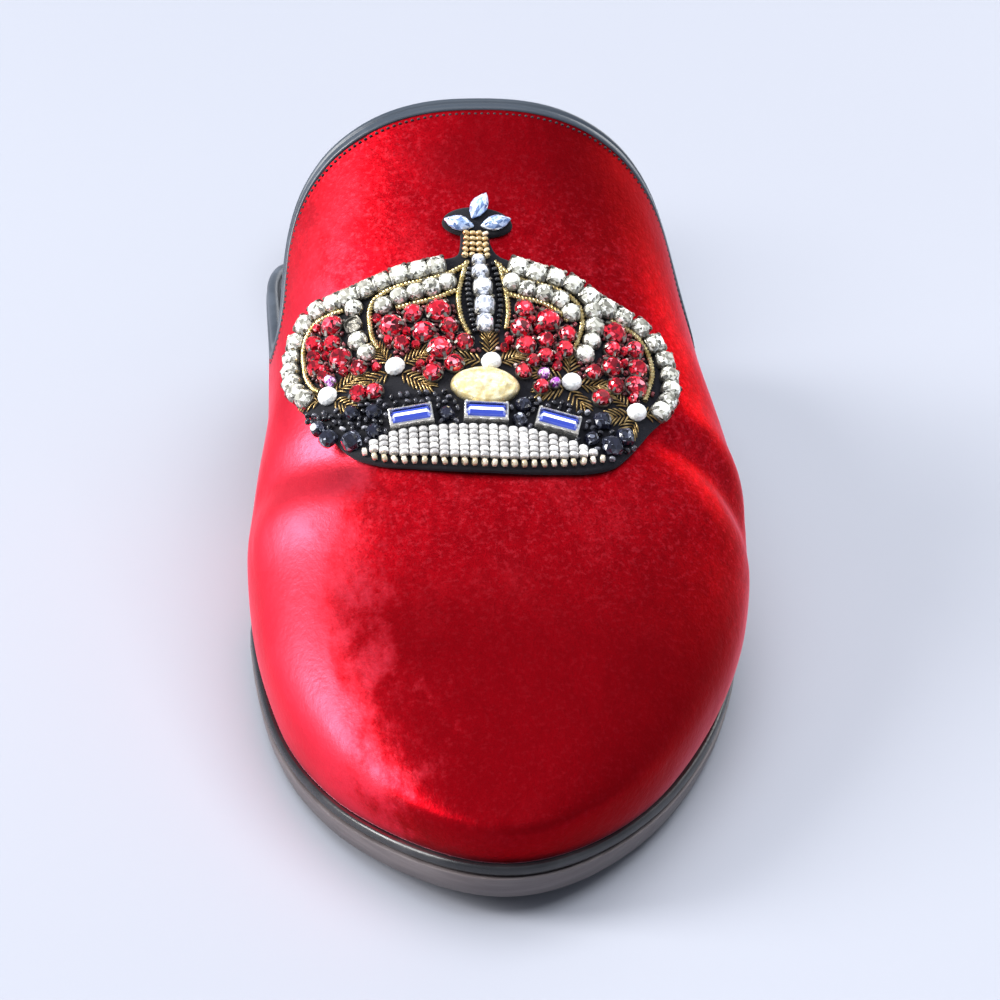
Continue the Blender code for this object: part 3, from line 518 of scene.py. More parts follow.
class Graph:
    """Nodes of one material, with short calls to add and link them."""

    def __init__(self, name: str) -> None:
        """Starts a material that holds one Principled shader."""
        self.material = bpy.data.materials.new(name)
        self.material.use_nodes = True
        self.tree = self.material.node_tree
        self.shader = self.tree.nodes["Principled BSDF"]

    def add(self, kind: str, inputs: dict | None = None, **settings: object) -> bpy.types.Node:
        """Adds a node.

        Args:
            kind: the node's type.
            inputs: values or sockets, by the input's name or number.
            settings: the node's own properties.

        Returns:
            The new node.
        """
        node = self.tree.nodes.new(kind)
        for key, value in settings.items():
            setattr(node, key, value)
        for key, value in (inputs or {}).items():
            self.put(node.inputs[key], value)
        return node

    def put(self, socket: Socket, value: object) -> None:
        """Links a socket to an input, or sets the input's value."""
        if isinstance(value, Socket):
            self.tree.links.new(value, socket)
        else:
            socket.default_value = value

    def set(self, **values: object) -> None:
        """Sets or links the shader's inputs; an underscore in a name stands for a space."""
        for key, value in values.items():
            self.put(self.shader.inputs[key.replace("_", " ")], value)

    def place(self) -> Socket:
        """The object coordinates."""
        return self.add("ShaderNodeTexCoord").outputs["Object"]

    def noise(
        self, scale: float, detail: float = 2.0, where: Socket | None = None, rough: float = 0.5
    ) -> Socket:
        """Noise of so many cycles a metre."""
        inputs = {"Scale": scale, "Detail": detail, "Roughness": rough, "Vector": where or self.place()}
        return self.add("ShaderNodeTexNoise", inputs).outputs["Fac"]

    def ramp(self, fac: Socket, *stops: tuple[float, tuple]) -> Socket:
        """Colours from a factor, by stops of place and colour."""
        node = self.add("ShaderNodeValToRGB", {"Fac": fac})
        elements = node.color_ramp.elements
        while len(elements) < len(stops):
            elements.new(0.5)
        for element, (place, colour) in zip(elements, stops):
            element.position = place
            element.color = (*colour, 1) if len(colour) == 3 else colour
        return node.outputs["Color"]

    def cells(self, where: Socket, scale: float, feature: str = "F1", output: str = "Distance") -> Socket:
        """Cells of so many a metre: their distance or their colour."""
        cells = self.add("ShaderNodeTexVoronoi", {"Vector": where, "Scale": scale}, feature=feature)
        return cells.outputs[output]

    def span(self, fac: Socket, low: float, high: float, to_low: float = 0.0, to_high: float = 1.0) -> Socket:
        """The factor mapped smoothly from one span to another."""
        inputs = {"Value": fac, "From Min": low, "From Max": high, "To Min": to_low, "To Max": to_high}
        return self.add("ShaderNodeMapRange", inputs, interpolation_type="SMOOTHSTEP").outputs["Result"]

    def mix(self, fac: object, first: object, second: object) -> Socket:
        """Mix of two colours."""
        node = self.add("ShaderNodeMix", data_type="RGBA")
        self.put(node.inputs[0], fac)
        for index, value in ((6, first), (7, second)):
            if isinstance(value, tuple) and len(value) == 3:
                value = (*value, 1)
            self.put(node.inputs[index], value)
        return node.outputs[2]

    def math(self, operation: str, first: object, second: object = 0.0) -> Socket:
        """One sum on two numbers."""
        return self.add("ShaderNodeMath", {0: first, 1: second}, operation=operation).outputs[0]

    def attribute(self, name: str) -> Socket:
        """A stored number of the mesh."""
        return self.add("ShaderNodeAttribute", attribute_name=name).outputs["Fac"]

    def bump(self, height: Socket, distance: float, strength: float, under: Socket | None = None) -> Socket:
        """A normal bent by a height, in metres at full height."""
        inputs = {"Height": height, "Distance": distance, "Strength": strength}
        if under is not None:
            inputs["Normal"] = under
        return self.add("ShaderNodeBump", inputs).outputs["Normal"]


@dataclass(frozen=True)
class Velvet:
    """Crushed silk velvet: a deep pile with a sheen, a painted highlight along its medial side and painted
    shade over its toe and the back of its vamp.
    """

    name: str = "crushed_velvet"
    pile: tuple = (0.64, 0.005, 0.014)
    deep: tuple = (0.46, 0.003, 0.009)
    # Dark colour of the random mottle, and of the painted shade over the toe and the back of the vamp.
    shade: tuple = (0.22, 0.001, 0.004)
    bright: tuple = (0.95, 0.055, 0.085)
    # Colour of the painted highlight along the medial side.
    painted_highlight: tuple = (0.80, 0.046, 0.080)
    sheen_tint: tuple = (1.0, 0.30, 0.40)

    def build(self) -> bpy.types.Material:
        """The velvet's material: painted bright along the medial side and painted dark over the toe and the
        back of the vamp.
        """
        g = Graph(self.name)
        place = g.place()
        lean = {"Vector": place, "Scale": (1.0, 0.6, 1.0), "Rotation": (0, 0, 0.5)}
        drift = g.add("ShaderNodeMapping", lean)
        slow = g.noise(22, 2, drift.outputs[0], 0.5)
        crush = g.noise(85, 4, drift.outputs[0], 0.6)
        mottle = g.noise(320, 4, drift.outputs[0], 0.7)
        nap = g.noise(900, 2, place, 0.6)
        pin = g.noise(2300, 1, place)
        tone = g.mix(g.span(slow, 0.35, 0.65), self.deep, self.pile)
        tone = g.mix(g.span(crush, 0.50, 0.76, 0.0, 0.20), tone, self.bright)
        tone = g.mix(g.span(mottle, 0.36, 0.62, 0.45, 0.0), tone, self.shade)
        tone = g.mix(g.span(nap, 0.48, 0.72, 0.0, 0.38), tone, self.bright)
        tone = g.mix(g.span(pin, 0.30, 0.52, 0.50, 0.0), tone, self.shade)
        parts = g.add("ShaderNodeSeparateXYZ", {0: place}).outputs
        edge = parts["X"]
        for cloud, reach in ((slow, 30 * MM), (crush, 34 * MM), (mottle, 14 * MM)):
            edge = g.math("ADD", edge, g.math("MULTIPLY", g.math("SUBTRACT", cloud, 0.5), reach))
        # Painted shade: the front of the toe darkens, clear of its medial side.
        painted_toe_shade = g.math("MULTIPLY", g.span(parts["Y"], -165 * MM, -215 * MM), g.span(edge, -29 * MM, -16 * MM))
        tone = g.mix(g.math("MULTIPLY", painted_toe_shade, 0.85), tone, self.shade)
        # Painted shade: the back of the vamp darkens, most on its lateral side, away from the key light.
        painted_throat_shade = g.span(parts["Y"], -135 * MM, -105 * MM)
        painted_throat_shade = g.math("MULTIPLY", painted_throat_shade, g.span(edge, -16 * MM, 4 * MM, 0.2, 1.0))
        tone = g.mix(g.math("MULTIPLY", painted_throat_shade, 0.8), tone, self.shade)
        # Painted highlight: the medial side turns bright pinkish red, most towards the toe.
        painted_side_highlight = g.span(edge, -19 * MM, -32 * MM, 0.0, 0.9)
        painted_side_highlight = g.math("MULTIPLY", painted_side_highlight, g.span(parts["Y"], -90 * MM, -140 * MM, 0.1, 1.0))
        tone = g.mix(painted_side_highlight, tone, self.painted_highlight)
        bend = g.bump(slow, 6.0 * MM, 0.28)
        bend = g.bump(crush, 1.4 * MM, 0.22, bend)
        bend = g.bump(mottle, 0.35 * MM, 0.30, bend)
        bend = g.bump(nap, 0.10 * MM, 0.5, bend)
        bend = g.bump(pin, 0.04 * MM, 0.5, bend)
        g.set(
            Base_Color=tone,
            Roughness=g.span(crush, 0.3, 0.7, 0.42, 0.52),
            Metallic=0.92,
            Normal=bend,
            Sheen_Weight=0.42,
            Sheen_Roughness=0.30,
            Sheen_Tint=(*self.sheen_tint, 1),
            Specular_IOR_Level=0.15,
            Specular_Tint=(1.0, 0.2, 0.25, 1),
        )
        return g.material


@dataclass(frozen=True)
class Leather:
    """Dyed smooth leather with a fine grain and rubbed places."""

    name: str
    colour: tuple
    rubbed: tuple
    roughness: float = 0.42
    grain: float = 0.12 * MM
    cells: float = 900.0

    def build(self) -> bpy.types.Material:
        """The leather's material."""
        g = Graph(self.name)
        place = g.place()
        cell = g.cells(place, self.cells, "SMOOTH_F1")
        cloud = g.noise(60, 4, place, 0.6)
        worn = g.span(cloud, 0.45, 0.75)
        g.set(
            Base_Color=g.mix(worn, self.colour, self.rubbed),
            Roughness=g.span(cloud, 0.3, 0.7, self.roughness - 0.08, self.roughness + 0.10),
            Normal=g.bump(cell, self.grain, 0.5, g.bump(cloud, 0.5 * MM, 0.25)),
        )
        return g.material


@dataclass(frozen=True)
class EdgeLeather:
    """Cut and stained edge of stacked leather, with its layers as faint lines."""

    name: str
    colour: tuple
    line: tuple
    layer: float

    def build(self) -> bpy.types.Material:
        """The edge's material."""
        g = Graph(self.name)
        place = g.place()
        streak = g.add("ShaderNodeMapping", {"Vector": place, "Scale": (60, 60, 900)}).outputs[0]
        fibre = g.noise(1.0, 3, streak, 0.6)
        height = g.add("ShaderNodeSeparateXYZ", {0: place}).outputs["Z"]
        wave = g.math("PINGPONG", height, self.layer / 2)
        seam = g.span(wave, 0.0, 0.22 * MM, 1.0, 0.0)
        tone = g.mix(g.span(fibre, 0.35, 0.7, 0.0, 0.7), self.colour, self.line)
        g.set(
            Base_Color=g.mix(g.math("MULTIPLY", seam, 0.6), tone, tuple(0.35 * c for c in self.colour)),
            Roughness=g.span(fibre, 0.3, 0.7, 0.38, 0.55),
            Normal=g.bump(fibre, 0.12 * MM, 0.5, g.bump(g.math("SUBTRACT", 1.0, seam), 0.15 * MM, 0.6)),
        )
        return g.material


@dataclass(frozen=True)
class Rubber:
    """Moulded rubber of the heel's top piece, with a fine pebble."""

    name: str = "lift_rubber"
    colour: tuple = (0.018, 0.018, 0.019)

    def build(self) -> bpy.types.Material:
        """The rubber's material."""
        g = Graph(self.name)
        pebble = g.cells(g.place(), 1400.0)
        dust = g.noise(240, 3)
        g.set(
            Base_Color=g.mix(g.span(dust, 0.5, 0.8, 0.0, 0.5), self.colour, (0.05, 0.048, 0.045)),
            Roughness=g.span(dust, 0.3, 0.7, 0.6, 0.8),
            Normal=g.bump(pebble, 0.15 * MM, 0.5),
        )
        return g.material


@dataclass(frozen=True)
class Thread:
    """Twisted sewing thread."""

    name: str
    colour: tuple

    def build(self) -> bpy.types.Material:
        """The thread's material."""
        g = Graph(self.name)
        fuzz = g.noise(4200, 2)
        light = tuple(min(1.0, 2.2 * c + 0.02) for c in self.colour)
        g.set(
            Base_Color=g.mix(g.span(fuzz, 0.4, 0.7, 0.0, 0.6), self.colour, light),
            Roughness=0.7,
            Normal=g.bump(fuzz, 0.08 * MM, 0.6),
        )
        return g.material


@dataclass(frozen=True)
class CutGlass:
    """Cut glass: each facet takes its own painted reflection, from dark to a painted glint, broken up by what
    shows through it.
    """

    name: str
    stops: tuple
    roughness: float = 0.10
    metallic: float = 0.15
    mosaic: float = 0.45

    def build(self) -> bpy.types.Material:
        """The glass's material, with its reflections painted into each facet's colour."""
        g = Graph(self.name)
        place = g.place()
        cell = g.cells(place, 1100.0, output="Color")
        part = g.math("MULTIPLY", g.add("ShaderNodeSeparateColor", {0: cell}).outputs[0], self.mosaic)
        own = g.math("MULTIPLY", g.attribute("tone"), 7.3 * min(1.0, 2 * self.mosaic))
        # Each facet's number picks its painted reflection from the stops.
        shade = g.math("ADD", g.attribute("facet"), own)
        if self.mosaic > 0.1:
            shade = g.math("FRACT", g.math("ADD", shade, part))
        g.set(
            Base_Color=g.ramp(shade, *self.stops),
            Roughness=self.roughness,
            Metallic=self.metallic,
            Coat_Weight=0.5,
            Coat_Roughness=0.04,
            Normal=g.bump(g.noise(1600, 1, place), 0.05 * MM, 0.3),
        )
        return g.material


@dataclass(frozen=True)
class BeadGlass:
    """Small glass beads, each of its own tone, with a paler one here and there painted in a glint colour."""

    name: str
    dark: tuple
    light: tuple
    roughness: float
    glint: tuple | None = None
    metallic: float = 0.1

    def build(self) -> bpy.types.Material:
        """The beads' material."""
        g = Graph(self.name)
        middle = tuple((a + b) / 2 for a, b in zip(self.dark, self.light))
        stops = ((0.0, self.dark), (0.55, middle), (0.90, self.light), (1.0, self.glint or self.light))
        colour = g.ramp(g.attribute("tone"), *stops)
        cloud = g.noise(1300, 2)
        g.set(
            Base_Color=g.mix(g.span(cloud, 0.45, 0.70, 0.0, 0.5), colour, self.dark),
            Roughness=self.roughness,
            Metallic=self.metallic,
            Coat_Weight=0.6,
            Coat_Roughness=0.03,
        )
        return g.material


@dataclass(frozen=True)
class Metal:
    """Gold, silver or gunmetal trim, tarnished in its hollows."""

    name: str
    dark: tuple
    light: tuple
    roughness: float
    wave: float = 0.0
    hammer: bool = False
    metallic: float = 0.9

    def build(self) -> bpy.types.Material:
        """The metal's material."""
        g = Graph(self.name)
        place = g.place()
        cloud = g.noise(700, 3, place, 0.6)
        grain = g.noise(3000, 1, place)
        height = g.math("ADD", cloud, g.math("MULTIPLY", grain, 0.3))
        if self.hammer:
            height = g.math("ADD", height, g.math("MULTIPLY", g.cells(place, 750.0, "SMOOTH_F1"), 1.6))
        if self.wave:
            height = g.math("ADD", height, g.noise(self.wave, 0.0, place))
        g.set(
            Base_Color=g.mix(g.span(cloud, 0.35, 0.65), self.dark, self.light),
            Roughness=g.span(cloud, 0.3, 0.7, self.roughness + 0.08, self.roughness - 0.05),
            Metallic=self.metallic,
            Normal=g.bump(height, 0.25 * MM, 0.5),
        )
        return g.material


@dataclass(frozen=True)
class Felt:
    """Dense black felt with a nap of short fibres."""

    name: str = "black_felt"
    colour: tuple = (0.004, 0.004, 0.006)

    def build(self) -> bpy.types.Material:
        """The felt's material."""
        g = Graph(self.name)
        place = g.place()
        fibre = g.noise(2400, 3, place, 0.7)
        clump = g.noise(500, 2, place)
        g.set(
            Base_Color=g.mix(g.span(fibre, 0.55, 0.80), self.colour, (0.020, 0.020, 0.026)),
            Roughness=0.95,
            Sheen_Weight=0.08,
            Sheen_Roughness=0.5,
            Sheen_Tint=(0.6, 0.6, 0.75, 1),
            Normal=g.bump(fibre, 0.18 * MM, 0.8, g.bump(clump, 0.3 * MM, 0.4)),
        )
        return g.material


def make_mesh(name: str, points: np.ndarray, faces: Sequence, smooth: bool = True) -> Piece:
    """An object from points and faces, in the scene.

    Args:
        name: the object's name.
        points: places in metres.
        faces: corners of each face.
        smooth: whether faces are shaded smooth.

    Returns:
        The new object.
    """
    mesh = bpy.data.meshes.new(name)
    mesh.from_pydata(np.asarray(points, float).tolist(), [], [list(map(int, f)) for f in faces])
    mesh.validate()
    mesh.polygons.foreach_set("use_smooth", [smooth] * len(mesh.polygons))
    made = bpy.data.objects.new(name, mesh)
    bpy.context.scene.collection.objects.link(made)
    return made


def ring_faces(rings: int, sides: int, start: int = 0, caps: bool = True) -> list[tuple]:
    """Quads between rings of points that follow each other.

    Args:
        rings: how many rings.
        sides: points in each.
        start: the number of the first point.
        caps: whether both ends are closed.

    Returns:
        The faces.
    """
    faces = []
    for low in range(start, start + (rings - 1) * sides, sides):
        for i in range(sides):
            j = (i + 1) % sides
            faces.append((low + i, low + j, low + sides + j, low + sides + i))
    if caps:
        last = start + (rings - 1) * sides
        faces += [tuple(range(start + sides - 1, start - 1, -1)), tuple(range(last, last + sides))]
    return faces


def circle(count: int) -> np.ndarray:
    """Angles evenly round a circle."""
    return 2 * math.pi * np.arange(count) / count


def flatten(obj: Piece) -> Piece:
    """Turns an object with modifiers into a plain mesh, and returns it."""
    bpy.context.view_layer.update()
    graph = bpy.context.evaluated_depsgraph_get()
    mesh = bpy.data.meshes.new_from_object(obj.evaluated_get(graph))
    obj.modifiers.clear()
    old = obj.data
    obj.data = mesh
    bpy.data.meshes.remove(old)
    mesh.name = obj.name
    return obj


def settle(obj: Piece, material: bpy.types.Material, slot: str, *nodes: str) -> Piece:
    """Gives a finished piece its material and its body, and hides the nodes that it stands for.

    Args:
        obj: the finished piece.
        material: what covers it.
        slot: the record's material slot; not used.
        nodes: the nodes that it replaces.

    Returns:
        The piece.
    """
    obj.data.materials.clear()
    obj.data.materials.append(material)
    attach(obj, BODY)
    if nodes:
        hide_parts(*nodes)
    log.info("%s: %d faces", obj.name, len(obj.data.polygons))
    return obj


def sweep(name: str, path: np.ndarray, out: np.ndarray, normal: np.ndarray, profile: np.ndarray) -> Piece:
    """A closed profile carried along a path, with flat ends.

    Args:
        name: the object's name.
        path: points along the way.
        out: the direction of the profile's first coordinate at each point.
        normal: the direction of its second coordinate.
        profile: the profile's corners, anticlockwise.

    Returns:
        The new object.
    """
    rings = path[:, None] + out[:, None] * profile[None, :, :1] + normal[:, None] * profile[None, :, 1:]
    made = make_mesh(name, rings.reshape(-1, 3), ring_faces(len(path), len(profile)))
    right_way_out(made)
    return made


def right_way_out(obj: Piece) -> None:
    """Turns a closed mesh's faces outwards."""
    mesh = bmesh.new()
    mesh.from_mesh(obj.data)
    bmesh.ops.recalc_face_normals(mesh, faces=mesh.faces)
    if mesh.calc_volume(signed=True) < 0:
        bmesh.ops.reverse_faces(mesh, faces=mesh.faces)
    mesh.to_mesh(obj.data)
    mesh.free()


class Shape(Enum):
    """Whether a crease sinks into the velvet or stands up from it."""

    TROUGH = -1
    RIDGE = 1


@dataclass(frozen=True)
class Crease:
    """Soft fold of the vamp through points of station and share across, -1 medial to 1 lateral."""

    shape: Shape
    depth: float
    width: float
    route: tuple

    def push(self, points: np.ndarray) -> np.ndarray:
        """How far the fold moves each point along its normal."""
        route = np.array(self.route)
        t = route[:, 0] * LAST.length
        share = route[:, 1]
        reach = np.where(share < 0, LAST.upper_half(t, -1), LAST.upper_half(t, 1))
        x = LAST.centre_x(t) + share * reach
        places = np.stack([x, LAST.y_toe + t, LAST.dome(x, t)], axis=1)
        line = smooth_path(places, 60)
        away = np.full(len(points), np.inf)
        at = np.zeros(len(points))
        for k, place in enumerate(line):
            gone = np.linalg.norm(points - place, axis=1)
            nearer = gone < away
            away = np.where(nearer, gone, away)
            at = np.where(nearer, k / (len(line) - 1), at)
        fade = np.sin(np.clip(at, 0.02, 0.98) * math.pi) ** 0.7
        return self.shape.value * self.depth * fade * np.exp(-((away / self.width) ** 2))


CREASES = (
    Crease(
        Shape.TROUGH, 2.0 * MM, 6.0 * MM, ((0.345, -0.985), (0.330, -0.88), (0.315, -0.72), (0.300, -0.50))
    ),
    Crease(
        Shape.RIDGE, 1.5 * MM, 6.0 * MM, ((0.300, -0.985), (0.287, -0.86), (0.275, -0.66), (0.268, -0.42))
    ),
    Crease(Shape.TROUGH, 0.7 * MM, 7.0 * MM, ((0.300, -0.30), (0.292, -0.05), (0.296, 0.20))),
    Crease(
        Shape.TROUGH,
        1.6 * MM,
        4.6 * MM,
        ((0.305, 0.999), (0.310, 0.95), (0.318, 0.86), (0.322, 0.70), (0.318, 0.50)),
    ),
    Crease(Shape.RIDGE, 1.3 * MM, 6.0 * MM, ((0.345, 0.995), (0.348, 0.93), (0.350, 0.80), (0.348, 0.62))),
    Crease(Shape.RIDGE, 0.8 * MM, 7.0 * MM, ((0.270, 0.98), (0.275, 0.85), (0.284, 0.62))),
    Crease(Shape.TROUGH, 0.6 * MM, 9.0 * MM, ((0.230, -0.75), (0.205, -0.45), (0.200, -0.10))),
)


@dataclass
class Upper:
    """Velvet upper with its leather lining, the bound topline and the row of stitches beside it."""

    across: int = 150
    rows: int = 170
    skirt: int = 22
    velvet_thick: float = 1.1 * MM
    lining_gap: float = 0.05 * MM
    bind_on: float = 0.8 * MM
    bind_off: float = 3.0 * MM
    roll: float = 1.15 * MM
    strip_proud: float = 0.40 * MM
    stitch_in: float = 1.5 * MM
    stitch_pitch: float = 1.35 * MM
    skin: BVHTree = field(init=False)

    def build(self) -> None:
        """Makes and dresses the pieces of the upper."""
        points, quads = LAST.outer_face(self.across, self.rows, self.skirt)
        normals = self.normals_of(points, quads)
        push = sum(crease.push(points) for crease in CREASES)
        points = points + normals * (push + self.slack(points))[:, None]
        normals = self.normals_of(points, quads)
        self.skin = BVHTree.FromPolygons(points.tolist(), quads.tolist())
        cutter = self.cutter()
        velvet = self.shell("velvet_upper", points, normals, quads, 0.0, self.velvet_thick, cutter)
        settle(velvet, Velvet().build(), "velvet", "upper")
        lining = self.shell(
            "upper_lining", points, normals, quads, self.velvet_thick + self.lining_gap, LAST.wall, cutter
        )
        leather = Leather("lining_leather", (0.020, 0.020, 0.023), (0.05, 0.05, 0.055), 0.5)
        settle(lining, leather.build(), "binding_leather")
        bpy.data.objects.remove(cutter)
        self.binding()
        self.stitches()

    def normals_of(self, points: np.ndarray, quads: np.ndarray) -> np.ndarray:
        """Outward unit normals at the points of a quad surface."""
        corners = points[quads]
        flat = np.cross(corners[:, 2] - corners[:, 0], corners[:, 3] - corners[:, 1])
        normals = np.zeros_like(points)
        for k in range(4):
            np.add.at(normals, quads[:, k], flat)
        return unit(normals)

    def slack(self, points: np.ndarray) -> np.ndarray:
        """Slow unevenness of velvet pulled over a last."""
        x, y, z = (points / (10 * MM)).T
        wave = np.sin(1.1 * x + 0.6 * y + 0.4) * np.sin(0.7 * y - 0.5 * x + 1.3)
        wave = wave + 0.5 * np.sin(1.9 * z + 1.1 * y)
        return 0.16 * MM * wave

    def shell(
        self,
        name: str,
        points: np.ndarray,
        normals: np.ndarray,
        quads: np.ndarray,
        outer: float,
        inner: float,
        cutter: Piece,
    ) -> Piece:
        """A closed layer of the upper between two depths, cut at the topline.

        Args:
            name: the piece's name.
            points: the outer face.
            normals: its normals.
            quads: its faces.
            outer: depth of the layer's outer side.
            inner: depth of its inner side.
            cutter: what lies above and behind the topline.

        Returns:
            The new piece.
        """
        count = len(points)
        both = np.concatenate([points - normals * outer, points - normals * inner])
        edges = np.concatenate([quads[:, [k, (k + 1) % 4]] for k in range(4)])
        order = np.sort(edges, axis=1)
        _, first, times = np.unique(order, axis=0, return_index=True, return_counts=True)
        rim = edges[first[times == 1]]
        walls = np.stack([rim[:, 1], rim[:, 0], rim[:, 0] + count, rim[:, 1] + count], axis=1)
        faces = np.concatenate([quads, quads[:, ::-1] + count, walls])
        made = make_mesh(name, both, faces)
        cut = made.modifiers.new("topline", "BOOLEAN")
        cut.operation = "DIFFERENCE"
        cut.solver = "EXACT"
        cut.object = cutter
        flatten(made)
        made.data.polygons.foreach_set("use_smooth", [True] * len(made.data.polygons))
        return made

    def cutter(self) -> Piece:
        """Block above and behind the topline."""
        path = smooth_path(TOPLINE * (LAST.length, LAST.instep_height), 160)
        outline = [tuple(p) for p in path]
        outline.append((path[-1, 0], 2 * LAST.instep_height))
        outline.append((LAST.length, 2 * LAST.instep_height))
        outline.append((LAST.length, -LAST.heel_height))
        outline.append((path[0, 0], -LAST.heel_height))
        points = [(x, LAST.y_toe + t, z) for x in (-LAST.ball_width, LAST.ball_width) for t, z in outline]
        count = len(outline)
        faces = [list(range(count)), list(range(2 * count - 1, count - 1, -1))]
        faces += [(i, i + count, (i + 1) % count + count, (i + 1) % count) for i in range(count)]
        made = make_mesh("topline_cutter", np.array(points), faces, smooth=False)
        right_way_out(made)
        made.hide_render = True
        return made

    def normals_at(self, path: np.ndarray, times: int = 12) -> np.ndarray:
        """Normals of the velvet nearest to a path, softened along it."""
        found = []
        for place in path:
            _, normal, _, _ = self.skin.find_nearest(Vector(place))
            found.append(tuple(normal))
        return unit(softened(np.array(found), times))

    def frames(self, path: np.ndarray, times: int = 12) -> tuple[np.ndarray, np.ndarray, np.ndarray]:
        """Directions along the topline, off its rim, and out of the velvet."""
        normal = self.normals_at(path, times)
        along = unit(softened(np.gradient(path, axis=0), times))
        normal = unit(normal - along * (normal * along).sum(axis=1)[:, None])
        off = np.cross(along, normal)
        hub = np.array([0.0, LAST.y_toe + 0.3 * LAST.length, 0.0])
        if ((path - hub) * off).sum() < 0:
            off = -off
        return along, off, normal

    def profile(self) -> np.ndarray:
        """Section of the binding: the roll on the rim, and the strip folded down over the velvet."""
        half = LAST.wall / 2
        centre = self.bind_off - self.roll
        angle = np.linspace(-0.72 * math.pi, 0.72 * math.pi, 15)
        roll = np.stack([centre + self.roll * np.cos(angle), self.roll * 1.08 * np.sin(angle)], axis=1)
        strip = half + self.strip_proud
        outer = [
            (0.6 * MM, strip),
            (-0.3 * MM, strip),
            (-self.bind_on + 0.12 * MM, strip - 0.04 * MM),
            (-self.bind_on, half + 0.12 * MM),
            (-self.bind_on, half - 0.1 * MM),
        ]
        low = -half - 0.25 * MM
        inner = [(-self.bind_on - MM, -half + 0.2 * MM), (-self.bind_on - MM, low), (0.6 * MM, low)]
        return np.concatenate([roll, np.array(outer + inner)])

    def binding(self) -> None:
        """The leather bound round the topline."""
        rim = LAST.topline(0.0, 320)
        _, off, normal = self.frames(rim)
        path = rim - normal * LAST.wall / 2
        made = sweep("topline_leather", path, off, normal, self.profile())
        leather = Leather("binding_leather", (0.030, 0.038, 0.050), (0.075, 0.088, 0.11), 0.36, 0.06 * MM)
        settle(made, leather.build(), "binding_leather", "topline_binding")

    def stitches(self) -> None:
        """The row of short stitches on the velvet beside the binding."""
        line = LAST.topline(-self.stitch_in, FINE)
        run = np.linalg.norm(np.diff(line, axis=0), axis=1).sum()
        count = int(run / self.stitch_pitch)
        path = evenly(line, count)
        along, _, normal = self.frames(path, 4)
        frames = (path + normal * 0.10 * MM, normal, along)
        stitch = stitch_shape(0.85 * MM, 0.22 * MM)
        made = set_in_place("topline_stitches", frames, (1, 1, 1), stitch, 0.12, 3)
        settle(made, Thread("topline_thread", (0.012, 0.011, 0.014)).build(), "binding_leather")


def stitch_shape(length: float, radius: float, sides: int = 6) -> Piece:
    """One stitch: a short bowed thread that dives at both ends, lying along X."""
    rings = []
    for s in np.linspace(-1, 1, 7):
        size = radius * math.sqrt(max(0.0, 1 - abs(s) ** 3)) + 0.15 * radius
        drop = -radius * 1.2 * s * s
        angle = circle(sides)
        across = (size * np.cos(angle), drop + size * np.sin(angle))
        ring = np.stack([np.full(sides, s * length / 2), *across], axis=1)
        rings.append(ring)
    made = make_mesh("stitch_shape", np.concatenate(rings), ring_faces(len(rings), sides))
    right_way_out(made)
    return made


class Tree:
    """A Geometry Nodes tree under construction, with named inputs."""

    def __init__(self, name: str) -> None:
        """Starts a tree that takes geometry and gives geometry."""
        self.group = bpy.data.node_groups.new(name, "GeometryNodeTree")
        face = self.group.interface
        face.new_socket("Geometry", in_out="INPUT", socket_type="NodeSocketGeometry")
        face.new_socket("Geometry", in_out="OUTPUT", socket_type="NodeSocketGeometry")
        self.source = self.group.nodes.new("NodeGroupInput")
        self.result = self.group.nodes.new("NodeGroupOutput")
        self.identifiers: dict[str, str] = {}

    def size(self, name: str, kind: str = "Float") -> Socket:
        """Adds a named input and returns its socket inside the tree."""
        made = self.group.interface.new_socket(name, in_out="INPUT", socket_type="NodeSocket" + kind)
        self.identifiers[name] = made.identifier
        return self.source.outputs[name]

    def add(self, kind: str, inputs: dict | None = None, **settings: object) -> bpy.types.Node:
        """Adds a node.

        Args:
            kind: its type.
            inputs: values or sockets, by name or number.
            settings: its properties.

        Returns:
            The new node.
        """
        node = self.group.nodes.new(kind)
        for key, value in settings.items():
            setattr(node, key, value)
        for key, value in (inputs or {}).items():
            if isinstance(value, Socket):
                self.group.links.new(value, node.inputs[key])
            else:
                node.inputs[key].default_value = value
        return node

    def named(self, name: str, kind: str) -> Socket:
        """A stored attribute of the geometry."""
        node = self.add("GeometryNodeInputNamedAttribute", {"Name": name}, data_type=kind)
        return node.outputs["Attribute"]

    def close(self, geometry: Socket, material: Socket) -> None:
        """Ends the tree: instances realized and the material set."""
        real = self.add("GeometryNodeRealizeInstances", {"Geometry": geometry})
        dressed = self.add("GeometryNodeSetMaterial", {"Geometry": real.outputs[0], "Material": material})
        self.group.links.new(dressed.outputs[0], self.result.inputs[0])

    def run(self, obj: Piece, **values: object) -> Piece:
        """Applies the tree to an object, with its inputs set by identifier.

        Args:
            obj: the object that the tree works on.
            values: the named inputs; an underscore in a name stands for a space.

        Returns:
            The object, now a plain mesh.
        """
        modifier = obj.modifiers.new(self.group.name, "NODES")
        modifier.node_group = self.group
        for key, value in values.items():
            modifier[self.identifiers[key.replace("_", " ")]] = value
        return flatten(obj)


